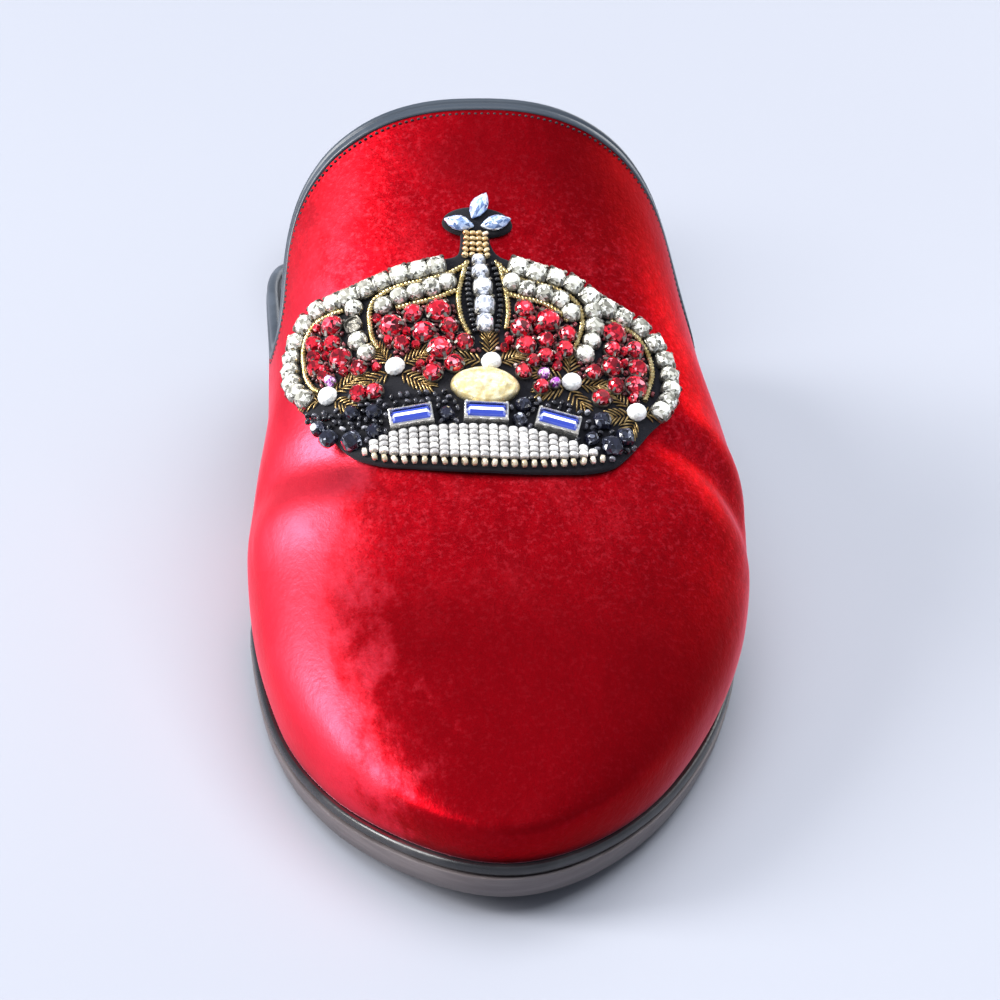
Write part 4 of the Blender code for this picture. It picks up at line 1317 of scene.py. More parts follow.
@cache
def scatter_tree() -> Tree:
    """Sets one small shape at every point, turned by the point's own directions."""
    tree = Tree("set_in_place")
    shape = tree.size("Shape", "Object")
    turn = tree.size("Turn")
    seed = tree.size("Seed", "Int")
    material = tree.size("Material", "Material")
    axes = tree.add(
        "FunctionNodeAxesToRotation",
        {0: tree.named("up", "FLOAT_VECTOR"), 1: tree.named("along", "FLOAT_VECTOR")},
        primary_axis="Z",
        secondary_axis="X",
    )
    info = tree.add("GeometryNodeObjectInfo", {"Object": shape})
    placed = tree.add(
        "GeometryNodeInstanceOnPoints",
        {
            "Points": tree.source.outputs[0],
            "Instance": info.outputs["Geometry"],
            "Rotation": axes.outputs[0],
            "Scale": tree.named("size", "FLOAT_VECTOR"),
        },
    )
    least = tree.add("ShaderNodeVectorMath", {0: (-1.0, -1.0, -1.0), "Scale": turn}, operation="SCALE")
    most = tree.add("ShaderNodeVectorMath", {0: (1.0, 1.0, 1.0), "Scale": turn}, operation="SCALE")
    span = {"Min": least.outputs[0], "Max": most.outputs[0], "Seed": seed}
    wobble = tree.add("FunctionNodeRandomValue", span, data_type="FLOAT_VECTOR")
    leaning = {"Instances": placed.outputs[0], "Rotation": wobble.outputs[0]}
    turned = tree.add("GeometryNodeRotateInstances", leaning)
    tone = tree.add("FunctionNodeRandomValue", {"Seed": seed}, data_type="FLOAT")
    kept = tree.add(
        "GeometryNodeStoreNamedAttribute",
        {"Geometry": turned.outputs[0], "Name": "tone", "Value": tone.outputs[1]},
        data_type="FLOAT",
        domain="INSTANCE",
    )
    tree.close(kept.outputs[0], material)
    return tree


def set_in_place(
    name: str, frames: tuple, size: np.ndarray | tuple, shape: Piece, turn: float = 0.0, seed: int = 1
) -> Piece:
    """Many copies of one small shape, each at a place with its own directions and size.

    Args:
        name: the name of the whole.
        frames: places, upward directions and directions along the shape's X.
        size: scale along the shape's X, Y and Z, one row for all or one each.
        shape: the small shape, which is removed afterwards.
        turn: how far each copy may be turned at random, in radians.
        seed: the seed of those turns and of the tones.

    Returns:
        The copies as one mesh.
    """
    places, up, along = frames
    made = make_mesh(name, places, [])
    for key, values in (("up", up), ("along", along), ("size", np.broadcast_to(size, (len(places), 3)))):
        kept = made.data.attributes.new(key, "FLOAT_VECTOR", "POINT")
        kept.data.foreach_set("vector", np.asarray(values, np.float32).ravel())
    shape.hide_render = True
    blank = bpy.data.materials.new(name + "_blank")
    scatter_tree().run(made, Shape=shape, Turn=turn, Seed=seed, Material=blank)
    bpy.data.objects.remove(shape)
    return made


class Cut(Enum):
    """The outline of a cut stone or of its cup."""

    ROUND = "round"
    CUSHION = "cushion"
    MARQUISE = "marquise"

    def outline(self, angle: np.ndarray) -> np.ndarray:
        """Points of the outline at half width 1, by their angle."""
        x = np.cos(angle)
        y = np.sin(angle)
        if self is Cut.MARQUISE:
            y = y * np.abs(y)
        if self is Cut.CUSHION:
            reach = (np.abs(x) ** 3.4 + np.abs(y) ** 3.4) ** (-1 / 3.4)
            x = x * reach
            y = y * reach
        return np.stack([x, y], axis=-1)


def mark_facets(obj: Piece, values: np.ndarray) -> None:
    """Stores one number for each face, from which the cut glass takes its painted reflections."""
    kept = obj.data.attributes.new("facet", "FLOAT", "FACE")
    kept.data.foreach_set("value", np.asarray(values, np.float32))


def gem(cut: Cut, sides: int, levels: Sequence[tuple[float, float]], seed: int) -> Piece:
    """Cut stone of half width 1, from rings that are each turned half a step from the one below.

    Args:
        cut: its outline.
        sides: corners of each ring.
        levels: share of the outline and height of each ring, from the bottom up.
        seed: seed of the facets' painted reflections.

    Returns:
        The stone.
    """
    points = []
    for k, (share, height) in enumerate(levels):
        flat = cut.outline(2 * math.pi * (np.arange(sides) + 0.5 * (k % 2)) / sides) * share
        points.append(np.concatenate([flat, np.full((sides, 1), height)], axis=1))
    faces = [list(range(sides - 1, -1, -1))]
    for k in range(len(levels) - 1):
        for i in range(sides):
            low = k * sides + i
            low_next = k * sides + (i + 1) % sides
            top = low + sides
            top_next = low_next + sides
            if k % 2:
                faces += [(low, top_next, top), (low, low_next, top_next)]
            else:
                faces += [(low, low_next, top), (top, low_next, top_next)]
    last = (len(levels) - 1) * sides
    faces.append([last + i for i in range(sides)])
    made = make_mesh("gem", np.concatenate(points), faces, smooth=False)
    mark_facets(made, np.random.default_rng(seed).random(len(faces)))
    return made


def claw_cup(cut: Cut, claws: int = 4, sides: int = 16) -> Piece:
    """Metal cup of a stone, with claws bent over the stone's edge.

    Args:
        cut: the outline of the stone.
        claws: how many.
        sides: corners of the cup.

    Returns:
        The cup, of half width 1.
    """
    flat = cut.outline(circle(sides))
    levels = ((0.86, 0.0), (1.05, 0.08), (1.09, 0.34), (1.05, 0.40), (0.93, 0.36), (0.90, 0.20))
    points = [np.concatenate([flat * share, np.full((sides, 1), height)], axis=1) for share, height in levels]
    faces = ring_faces(len(levels), sides)
    for k in range(claws):
        turn = 2 * math.pi * (k + 0.5) / claws
        out = cut.outline(np.array([turn]))[0]
        side = np.array([-math.sin(turn), math.cos(turn)])
        faces += ring_faces(3, 4, len(levels) * sides + 12 * k)
        for reach, height in ((1.14, 0.22), (1.13, 0.60), (0.80, 0.86)):
            for inward, across in ((0.0, -0.13), (0.0, 0.13), (0.13, 0.13), (0.13, -0.13)):
                place = out * (reach - inward) + side * across
                points.append(np.array([[*place, height - inward * 0.6]]))
    made = make_mesh("cup", np.concatenate(points), faces)
    made.data.set_sharp_from_angle(angle=math.radians(40))
    right_way_out(made)
    return made


def bead_shape(half_length: float = 0.62, sides: int = 9, around: int = 5) -> Piece:
    """Seed bead of radius 1, its hole along X.

    Args:
        half_length: half its length.
        sides: faces round the hole.
        around: faces round its wall.

    Returns:
        The bead.
    """
    hole = 0.30
    phi = circle(sides)[:, None]
    theta = 2 * math.pi * (np.arange(around) + 0.5) / around
    reach = (1 + hole) / 2 + (1 - hole) / 2 * np.cos(theta) / math.cos(math.pi / around)
    rings = np.broadcast_arrays(half_length * np.sin(theta), reach * np.cos(phi), reach * np.sin(phi))
    points = np.stack(rings, axis=-1).reshape(-1, 3)
    faces = [[i % len(points) for i in face] for face in ring_faces(sides + 1, around, caps=False)]
    made = make_mesh("bead", points, faces)
    right_way_out(made)
    return made


def wire_shape(sides: int = 6, steps: int = 6) -> Piece:
    """Cut end of gold wire from 0 to 1 along X, bowed up and sunk at both ends.

    Args:
        sides: faces round it.
        steps: faces along it.

    Returns:
        The wire, of thickness 1.
    """
    points = []
    for s in np.linspace(0, 1, steps + 1):
        size = 0.5 * (1 - 0.55 * abs(2 * s - 1) ** 4)
        bow = 0.9 * math.sin(math.pi * min(1.0, s * 1.05)) ** 0.6 - 0.25
        angle = circle(sides)
        points.append(np.stack([np.full(sides, s), size * np.cos(angle), bow + size * np.sin(angle)], axis=1))
    made = make_mesh("wire", np.concatenate(points), ring_faces(steps + 1, sides))
    right_way_out(made)
    return made


SQUARE = ((-1, -1), (1, -1), (1, 1), (-1, 1))


def baguette_glass() -> Piece:
    """Step-cut oblong stone of half length and half width 1: long facets between two bevelled ends."""
    rows = ((-1.0, 0.30), (-0.66, 0.84), (-0.18, 1.0), (0.22, 1.0), (0.62, 0.86), (1.0, 0.30))
    ends = (-1.0, -0.84, 0.84, 1.0)
    points = [(x, y, height if abs(x) < 1 else 0.30) for y, height in rows for x in ends]
    points += [(*corner, 0) for corner in SQUARE]
    # Painted reflections: a fixed brightness for each row of facets, the middle row of the table a painted
    # white glint.
    table = (0.45, 0.14, 0.86, 0.22, 0.06)
    bevels = (0.45, 0.56, 0.80, 0.30, 0.55)
    faces = []
    shades = []
    for j in range(len(rows) - 1):
        for i in range(3):
            a = j * 4 + i
            faces.append((a, a + 1, a + 5, a + 4))
            shades.append((table if i == 1 else bevels)[j])
    faces += [(24, 25, 3, 2, 1, 0), (26, 27, 20, 21, 22, 23), (27, 26, 25, 24)]
    faces += [(25, 26, *range(23, 2, -4)), (27, 24, *range(0, 21, 4))]
    shades += [0.5] * 5
    made = make_mesh("baguette_glass", np.array(points), faces, smooth=False)
    mark_facets(made, np.array(shades))
    right_way_out(made)
    return made


def baguette_frame(ratio: float) -> Piece:
    """Silver frame of an oblong stone, its long half 1.

    Args:
        ratio: its short half.

    Returns:
        The frame, with a claw at each corner.
    """
    wide = 0.10
    levels = ((1.0, 0.0), (1.0, 0.80), (0.985, 0.90), (0.93, 0.95), (0.90, 0.88), (0.90, 0.55))
    points = [(x * share, y * (ratio - 1 + share), height) for share, height in levels for x, y in SQUARE]
    faces = ring_faces(len(levels), 4)
    for x, y in SQUARE:
        faces += ring_faces(2, 4, len(points))
        for spread, height in ((1.0, 0.84), (0.6, 1.08)):
            for dx, dy in SQUARE:
                reach = 0.075 * spread
                points.append((x * (1 - wide) + dx * reach, y * (ratio - wide) + dy * reach, height))
    made = make_mesh("baguette_frame", np.array(points), faces, smooth=False)
    right_way_out(made)
    return made


def cord_tree() -> Tree:
    """Twisted cord: a lobed profile carried along a path and turned as it goes."""
    tree = Tree("twisted_cord")
    profile = tree.size("Profile", "Object")
    radius = tree.size("Radius")
    step = tree.size("Step")
    lay = tree.size("Lay")
    material = tree.size("Material", "Material")
    path = tree.add("GeometryNodeMeshToCurve", {"Mesh": tree.source.outputs[0]})
    even = tree.add("GeometryNodeResampleCurve", {"Curve": path.outputs[0], "Length": step}, mode="LENGTH")
    run = tree.add("GeometryNodeSplineParameter")
    turns = tree.add("ShaderNodeMath", {0: run.outputs["Length"], 1: lay}, operation="DIVIDE")
    angle = tree.add("ShaderNodeMath", {0: turns.outputs[0], 1: 2 * math.pi}, operation="MULTIPLY")
    turned = tree.add("GeometryNodeSetCurveTilt", {"Curve": even.outputs[0], "Tilt": angle.outputs[0]})
    info = tree.add("GeometryNodeObjectInfo", {"Object": profile})
    outline = tree.add("GeometryNodeMeshToCurve", {"Mesh": info.outputs["Geometry"]})
    scale = tree.add("ShaderNodeCombineXYZ", {0: radius, 1: radius, 2: radius})
    sized = tree.add("GeometryNodeTransform", {"Geometry": outline.outputs[0], "Scale": scale.outputs[0]})
    swept = {"Curve": turned.outputs[0], "Profile Curve": sized.outputs[0], "Fill Caps": True}
    tree.close(tree.add("GeometryNodeCurveToMesh", swept).outputs[0], material)
    return tree


def edge_object(name: str, points: np.ndarray, edges: Sequence) -> Piece:
    """An object of points and edges alone, in the scene.

    Args:
        name: its name.
        points: its points.
        edges: pairs of their numbers.

    Returns:
        The new object.
    """
    mesh = bpy.data.meshes.new(name)
    mesh.from_pydata(np.asarray(points).tolist(), edges, [])
    made = bpy.data.objects.new(name, mesh)
    bpy.context.scene.collection.objects.link(made)
    return made


def lobed_profile(lobes: int = 3, sides: int = 12) -> Piece:
    """Closed outline of twisted strands, of radius about 1.

    Args:
        lobes: how many strands.
        sides: points of the outline.

    Returns:
        The outline, hidden from renders.
    """
    angle = circle(sides)
    reach = 1 + 0.22 * np.cos(lobes * angle)
    points = np.stack([reach * np.cos(angle), reach * np.sin(angle), 0 * angle], axis=1)
    made = edge_object("strands", points, [(i, (i + 1) % sides) for i in range(sides)])
    made.hide_render = True
    return made


class CrownMap:
    """Carries points of the crown's own plane onto the vamp.

    The points are in hundredths of the crown's width: u across from its centre, v up from its foot.
    """

    width: float = 93.2 * MM
    foot: float = 78 * MM
    shift: float = -2 * MM
    slant: float = -0.08

    def __init__(self) -> None:
        """Measures the vamp by arc lengths: across from its ridge, and up along it."""
        self.unit = self.width / 100
        self.t = np.linspace(0.22, 0.62, 180) * LAST.length
        share = np.sin(np.linspace(-math.pi / 2, math.pi / 2, 401))
        self.x = []
        self.arc = []
        for t in self.t:
            reach = np.where(share < 0, LAST.upper_half(t, -1), LAST.upper_half(t, 1))
            x = LAST.centre_x(t) + reach * share
            z = LAST.dome(x, np.full_like(x, t))
            run = np.concatenate([[0], np.cumsum(np.hypot(np.diff(x), np.diff(z)))])
            self.x.append(x)
            self.arc.append(run - run[200])
        ridge = LAST.dome(LAST.centre_x(self.t), self.t)
        run = np.concatenate([[0], np.cumsum(np.hypot(np.diff(self.t), np.diff(ridge)))])
        self.up = run - np.interp(self.foot, self.t, run)

    def foot_of(self, uv: np.ndarray) -> np.ndarray:
        """Points on the velvet under points of the crown.

        Args:
            uv: the crown's points.

        Returns:
            The points on the velvet, in metres.
        """
        uv = np.asarray(uv, float) * self.unit
        a = uv[:, 0] + self.shift
        t = np.interp(uv[:, 1] + self.slant * uv[:, 0], self.up, self.t)
        row = np.clip((t - self.t[0]) / (self.t[1] - self.t[0]), 0, len(self.t) - 1.001)
        low = row.astype(int)
        x = np.empty_like(a)
        for i, k in enumerate(low):
            first = np.interp(a[i], self.arc[k], self.x[k])
            second = np.interp(a[i], self.arc[k + 1], self.x[k + 1])
            x[i] = first + (second - first) * (row[i] - k)
        return np.stack([x, LAST.y_toe + t, LAST.dome(x, t)], axis=1)

    def frames(self, uv: np.ndarray) -> tuple[np.ndarray, np.ndarray, np.ndarray, np.ndarray]:
        """The velvet's own directions at points of the crown.

        Args:
            uv: the crown's points.

        Returns:
            Foot points, normals and the directions of u and v.
        """
        uv = np.asarray(uv, float)
        here = self.foot_of(uv)
        across = unit(self.foot_of(uv + (0.4, 0.0)) - here)
        upward = unit(self.foot_of(uv + (0.0, 0.4)) - here)
        normal = unit(np.cross(across, upward))
        return here, normal, across, np.cross(normal, across)

    def place(self, uv: np.ndarray, lift: float | np.ndarray) -> np.ndarray:
        """Points of the crown at a height over the velvet."""
        here, normal, _, _ = self.frames(uv)
        return here + normal * np.broadcast_to(lift, len(here))[:, None]

    def sow(
        self,
        name: str,
        uv: np.ndarray,
        shape: Piece,
        size: np.ndarray | tuple,
        lift: float = 0.0,
        turn: float | np.ndarray = 0.0,
        wobble: float = 0.0,
        seed: int = 1,
    ) -> Piece:
        """Sets a small shape at points of the crown.

        Args:
            name: the piece's name.
            uv: the points.
            shape: the shape, of half width 1.
            size: metres along the shape's X, Y and Z, one row for all or one each.
            lift: height over the velvet.
            turn: degrees from the direction of u.
            wobble: how far each may lean at random, in radians.
            seed: seed of that and of the tones.

        Returns:
            The shapes as one mesh.
        """
        uv = np.asarray(uv, float)[:, :2]
        here, normal, across, upward = self.frames(uv)
        angle = np.radians(np.broadcast_to(turn, len(uv)))[:, None]
        frames = (here + normal * lift, normal, across * np.cos(angle) + upward * np.sin(angle))
        return set_in_place(name, frames, size, shape, wobble, seed)


# Points of u and v, at the height of the stones' girdles.
OUTER_ARCH_MEDIAL = (
    (-9.1, 55.0), (-16.2, 53.9), (-22.7, 52.9), (-28.6, 52.1), (-34.3, 53.0), (-39.0, 53.2),
    (-42.3, 51.4), (-44.7, 47.8), (-45.2, 43.4), (-44.6, 38.2), (-42.4, 32.6), (-40.6, 30.2),
)
OUTER_ARCH_LATERAL = (
    (8.8, 55.3), (14.5, 54.3), (20.5, 53.6), (24.6, 51.0), (29.6, 49.1), (35.4, 48.3), (39.3, 45.8),
    (41.8, 42.0), (42.8, 37.8), (42.3, 33.4), (40.4, 28.9), (39.2, 26.6),
)
INNER_ARCH_MEDIAL = ((-7.0, 50.8), (-10.6, 49.6), (-14.0, 48.8), (-17.6, 48.2), (-21.2, 46.8))
INNER_ARCH_LATERAL = ((7.1, 51.3), (10.5, 49.9), (14.1, 49.4), (17.6, 48.5), (19.9, 45.6))
COLUMN_MEDIAL = ((-28.0, 48.6), (-27.3, 39.3), (-25.4, 35.3))
EMPTY_CUP = (-28.2, 44.2)
COLUMN_LATERAL = ((25.0, 47.4), (25.0, 43.4), (24.2, 39.4), (22.3, 35.3))
CORDS = (
    (
        (-3.0, 54.9), (-7.2, 52.7), (-11.8, 51.6), (-16.1, 51.2), (-20.4, 50.3), (-23.2, 48.8),
        (-24.3, 46.2), (-24.3, 43.0), (-23.9, 39.0), (-22.6, 35.6),
    ),
    (
        (3.6, 56.2), (6.2, 53.8), (10.0, 52.0), (14.0, 51.6), (18.2, 50.7), (21.3, 48.8), (22.4, 45.8),
        (22.2, 42.4), (21.2, 39.2), (20.2, 36.2),
    ),
    (
        (-5.2, 48.6), (-10.0, 46.7), (-14.6, 45.9), (-18.4, 45.4),
    ),
    (
        (5.8, 48.4), (9.0, 47.6), (13.0, 47.1), (16.8, 45.5), (19.2, 43.4),
    ),
    (
        (-30.5, 49.4), (-34.8, 50.1), (-38.1, 50.2), (-40.6, 48.0), (-41.3, 44.6), (-40.9, 40.2),
        (-40.2, 36.2), (-38.2, 31.6), (-36.8, 30.0),
    ),
    (
        (28.9, 46.6), (32.5, 45.9), (35.3, 44.8), (37.0, 42.6), (38.0, 39.8), (38.1, 36.1), (37.0, 32.1),
        (35.6, 27.8),
    ),
    (
        (-2.4, 56.0), (-3.5, 52.4), (-4.6, 48.0), (-4.6, 43.6), (-3.9, 40.0), (-2.7, 37.2),
    ),
    (
        (4.7, 55.6), (5.6, 50.0), (6.0, 46.4), (6.0, 43.0), (5.4, 39.2),
    ),
)
SEED_ROWS = (
    (
        (-2.1, 54.0), (-2.6, 50.4), (-2.5, 46.6), (-2.2, 43.0), (-1.6, 38.4),
    ),
    (
        (3.2, 55.6), (3.9, 52.4), (4.3, 48.6), (4.3, 44.6), (3.7, 40.6), (3.2, 38.4),
    ),
)
# u, v, half width, half length, in hundredths of the crown's width.
PILLAR_STONES = (
    (0.1, 56.2, 1.5, 1.2), (0.3, 53.3, 1.9, 1.7), (0.7, 49.5, 2.1, 2.2), (0.9, 44.9, 2.2, 2.5),
    (0.7, 40.4, 1.9, 2.2),
)
# u, v, width: the red stones of the four fields.
RED_STONES = (
    (-33.4, 46.4, 4.3), (-38.2, 44.2, 3.4), (-33.2, 41.4, 3.4), (-37.9, 40.4, 2.8), (-31.4, 36.2, 4.4),
    (-37.5, 36.9, 3.4), (-27.2, 31.8, 3.2), (-35.2, 32.8, 2.6), (-27.4, 24.8, 3.6), (-23.9, 24.4, 3.4),
    (-19.7, 41.1, 4.6), (-14.8, 43.4, 3.6), (-12.6, 38.3, 4.3), (-17.6, 36.0, 3.2), (-9.3, 33.8, 4.6),
    (-9.3, 43.6, 4.6), (-11.1, 27.5, 3.6), (-7.0, 39.4, 3.4), (-4.0, 35.2, 3.4), (-6.4, 29.8, 3.6),
    (9.6, 44.8, 3.6), (14.6, 42.6, 4.6), (8.6, 39.8, 3.9), (18.8, 39.8, 3.4), (9.4, 35.4, 3.9),
    (13.9, 37.2, 3.2), (18.0, 35.6, 3.4), (13.6, 33.1, 3.0), (8.6, 28.4, 3.0), (10.8, 31.4, 2.5),
    (12.2, 24.8, 2.9), (29.6, 43.4, 4.6), (28.6, 38.6, 3.2), (34.1, 40.8, 3.6), (28.4, 33.9, 4.0),
    (34.4, 35.8, 3.9), (28.9, 28.9, 3.2), (33.6, 30.6, 4.4), (24.0, 30.9, 3.0), (25.4, 24.6, 3.4),
)
VIOLET_STONES = ((-33.7, 30.6, 2.6), (12.9, 28.3, 2.8), (15.2, 26.2, 2.4))
FLOWERS = ((-34.6, 27.3), (-19.2, 30.1), (1.6, 30.5), (19.0, 27.3), (33.3, 23.6))
# u, v of the stone's edge and of the leaf's tip.
LEAVES = (
    (-33.0, 28.0, -26.6, 30.6), (-33.2, 25.8, -29.0, 21.6), (-36.4, 27.8, -41.0, 29.4),
    (-20.6, 31.4, -23.2, 36.6), (-17.4, 31.0, -11.8, 33.6), (-20.8, 29.0, -26.4, 27.2),
    (-18.0, 28.6, -11.8, 24.2), (1.5, 32.4, 1.4, 38.0), (-0.4, 30.8, -6.2, 32.0), (3.6, 30.8, 8.2, 33.2),
    (18.8, 29.2, 19.2, 34.2), (17.2, 27.8, 11.4, 29.0), (20.8, 27.4, 26.4, 28.4),
    (18.6, 25.4, 21.8, 21.8), (17.4, 25.8, 11.6, 23.4), (31.6, 24.6, 26.8, 28.2),
    (31.8, 22.6, 26.8, 20.2), (33.0, 21.6, 31.4, 17.4), (35.0, 24.2, 38.6, 26.0),
)
BLACK_STONES = (
    (-37.0, 19.5, 3.4), (-34.6, 15.4, 4.2), (-29.1, 20.1, 3.4), (-29.4, 13.0, 4.6), (-24.4, 14.2, 3.4),
    (-24.2, 19.2, 3.4), (7.9, 19.8, 3.4), (7.2, 15.6, 3.2), (25.2, 18.6, 4.2), (30.2, 16.0, 4.2),
    (27.0, 12.6, 4.8), (22.6, 13.4, 3.2), (-8.6, 17.0, 3.4),
)
# u, v, turn in degrees.
BAGUETTE_PLACES = ((-16.2, 15.9, 5.0), (-0.2, 16.7, 0.0), (15.2, 15.6, -9.0))
# u, v, turn in degrees, half length, half width.
MARQUISE_PLACES = ((0.9, 70.6, 66.0, 3.9, 2.0), (-3.7, 65.9, 164.0, 3.6, 1.9), (4.4, 66.4, 20.0, 3.7, 1.9))
MARQUISE_NODES = ("marquise_top", "marquise_medial", "marquise_lateral")
# u, low, high: the bead panel and the band of black beads above it.
BEAD_PANEL = (
    (-27.6, 9.2, 9.9), (-24.0, 6.6, 11.8), (-19.6, 5.3, 13.0), (-10.0, 4.3, 13.6), (0.0, 4.0, 13.9),
    (9.0, 4.4, 13.4), (15.4, 5.3, 12.3), (21.0, 6.8, 10.6), (25.6, 8.6, 9.3),
)
BLACK_BAND = (
    (-40.0, 23.0, 25.0), (-37.0, 18.6, 23.2), (-33.0, 13.6, 22.4), (-28.0, 10.4, 22.4),
    (-24.0, 12.6, 22.0), (-17.0, 14.2, 23.0), (-9.0, 14.6, 22.6), (0.0, 15.0, 18.6), (9.0, 14.4, 21.6),
    (17.0, 13.0, 21.4), (23.0, 11.0, 20.4), (27.0, 9.0, 18.4), (32.0, 13.4, 17.2),
)
# u, v round the felt, from the middle of its foot towards the lateral side.
FELT_OUTLINE = (
    (0.0, 2.8), (8.6, 3.0), (16.1, 3.8), (22.5, 5.2), (27.6, 7.8), (31.0, 11.6), (33.8, 15.6),
    (37.0, 20.6), (40.4, 25.4), (42.8, 30.4), (44.2, 36.0), (43.6, 42.0), (40.4, 47.2), (35.6, 50.4),
    (30.0, 51.2), (24.6, 53.4), (20.6, 55.8), (14.5, 56.4), (9.0, 57.2), (4.6, 58.6), (3.0, 62.0),
    (2.6, 66.0), (-3.2, 66.0), (-3.6, 62.0), (-4.6, 58.2), (-9.1, 57.2), (-16.2, 56.0), (-22.7, 55.2),
    (-28.6, 54.4), (-34.3, 55.2), (-39.6, 55.4), (-43.6, 53.4), (-46.2, 49.0), (-46.8, 43.6),
    (-46.2, 37.8), (-44.4, 31.8), (-42.0, 27.6), (-37.4, 21.5), (-33.8, 14.8), (-29.4, 9.0),
    (-23.2, 5.5), (-16.1, 3.9), (-8.6, 3.0),
)
# u, v, half width, half height of the felt's lobe under the three marquises.
FINIAL_LOBE = (0.4, 67.0, 7.9, 4.0)
FINIAL_SIDES = 88
# u, low, high: where small stones and beads fill the red fields.
FIELD_REACH = (
    (-41, 30, 47), (-38, 29, 49), (-30, 28, 48), (-24, 27, 46), (-8, 28, 47), (-3, 30, 44), (3, 34, 44),
    (8, 27, 47), (20, 28, 45), (26, 24, 45), (34, 26, 45), (38, 30, 42),
)

# The stops of each cut glass run from its darkest facets to its painted glints: reflections painted facet by
# facet.
CLEAR = CutGlass("clear_crystal", (
    (0.0, (0.05, 0.05, 0.04)), (0.20, (0.26, 0.25, 0.21)), (0.45, (0.52, 0.51, 0.44)),
    (0.75, (0.80, 0.79, 0.72)), (1.0, (1.0, 1.0, 0.97)),
))
CLEAR_PILLAR = CutGlass("pillar_crystal", (
    (0.0, (0.10, 0.11, 0.14)), (0.3, (0.38, 0.40, 0.46)), (0.6, (0.66, 0.69, 0.76)), (1.0, (1.0, 1.0, 1.0)),
))
RED = CutGlass("red_crystal", (
    (0.0, (0.03, 0.001, 0.003)), (0.25, (0.16, 0.001, 0.007)), (0.55, (0.48, 0.004, 0.018)),
    (0.82, (0.85, 0.016, 0.040)), (0.94, (1.0, 0.12, 0.18)), (1.0, (1.0, 0.50, 0.56)),
), metallic=0.35)
VIOLET = CutGlass("violet_crystal", (
    (0.0, (0.10, 0.01, 0.12)), (0.35, (0.36, 0.06, 0.42)), (0.6, (0.70, 0.36, 0.80)),
    (1.0, (1.0, 0.80, 0.95)),
))
WHITE = CutGlass("white_crystal", (
    (0.0, (0.66, 0.66, 0.62)), (0.4, (0.80, 0.80, 0.77)), (1.0, (0.97, 0.97, 0.96)),
), 0.22, 0.0)
PALE_BLUE = CutGlass("pale_blue_crystal", (
    (0.0, (0.06, 0.11, 0.26)), (0.3, (0.24, 0.36, 0.64)), (0.55, (0.50, 0.63, 0.88)),
    (0.8, (0.80, 0.87, 1.0)), (1.0, (1.0, 1.0, 1.0)),
))
JET = CutGlass("jet_crystal", (
    (0.0, (0.003, 0.003, 0.006)), (0.62, (0.012, 0.013, 0.026)), (0.86, (0.03, 0.034, 0.055)),
    (0.96, (0.12, 0.13, 0.17)), (1.0, (0.42, 0.44, 0.50)),
))
LAVENDER = CutGlass("lavender_crystal", (
    (0.0, (0.004, 0.008, 0.09)), (0.14, (0.010, 0.022, 0.22)), (0.42, (0.035, 0.065, 0.42)),
    (0.66, (0.10, 0.15, 0.68)), (0.86, (0.36, 0.42, 0.90)), (1.0, (0.90, 0.92, 1.0)),
), 0.12, mosaic=0.04)
GUNMETAL = Metal("gunmetal", (0.20, 0.19, 0.17), (0.42, 0.40, 0.35), 0.32)


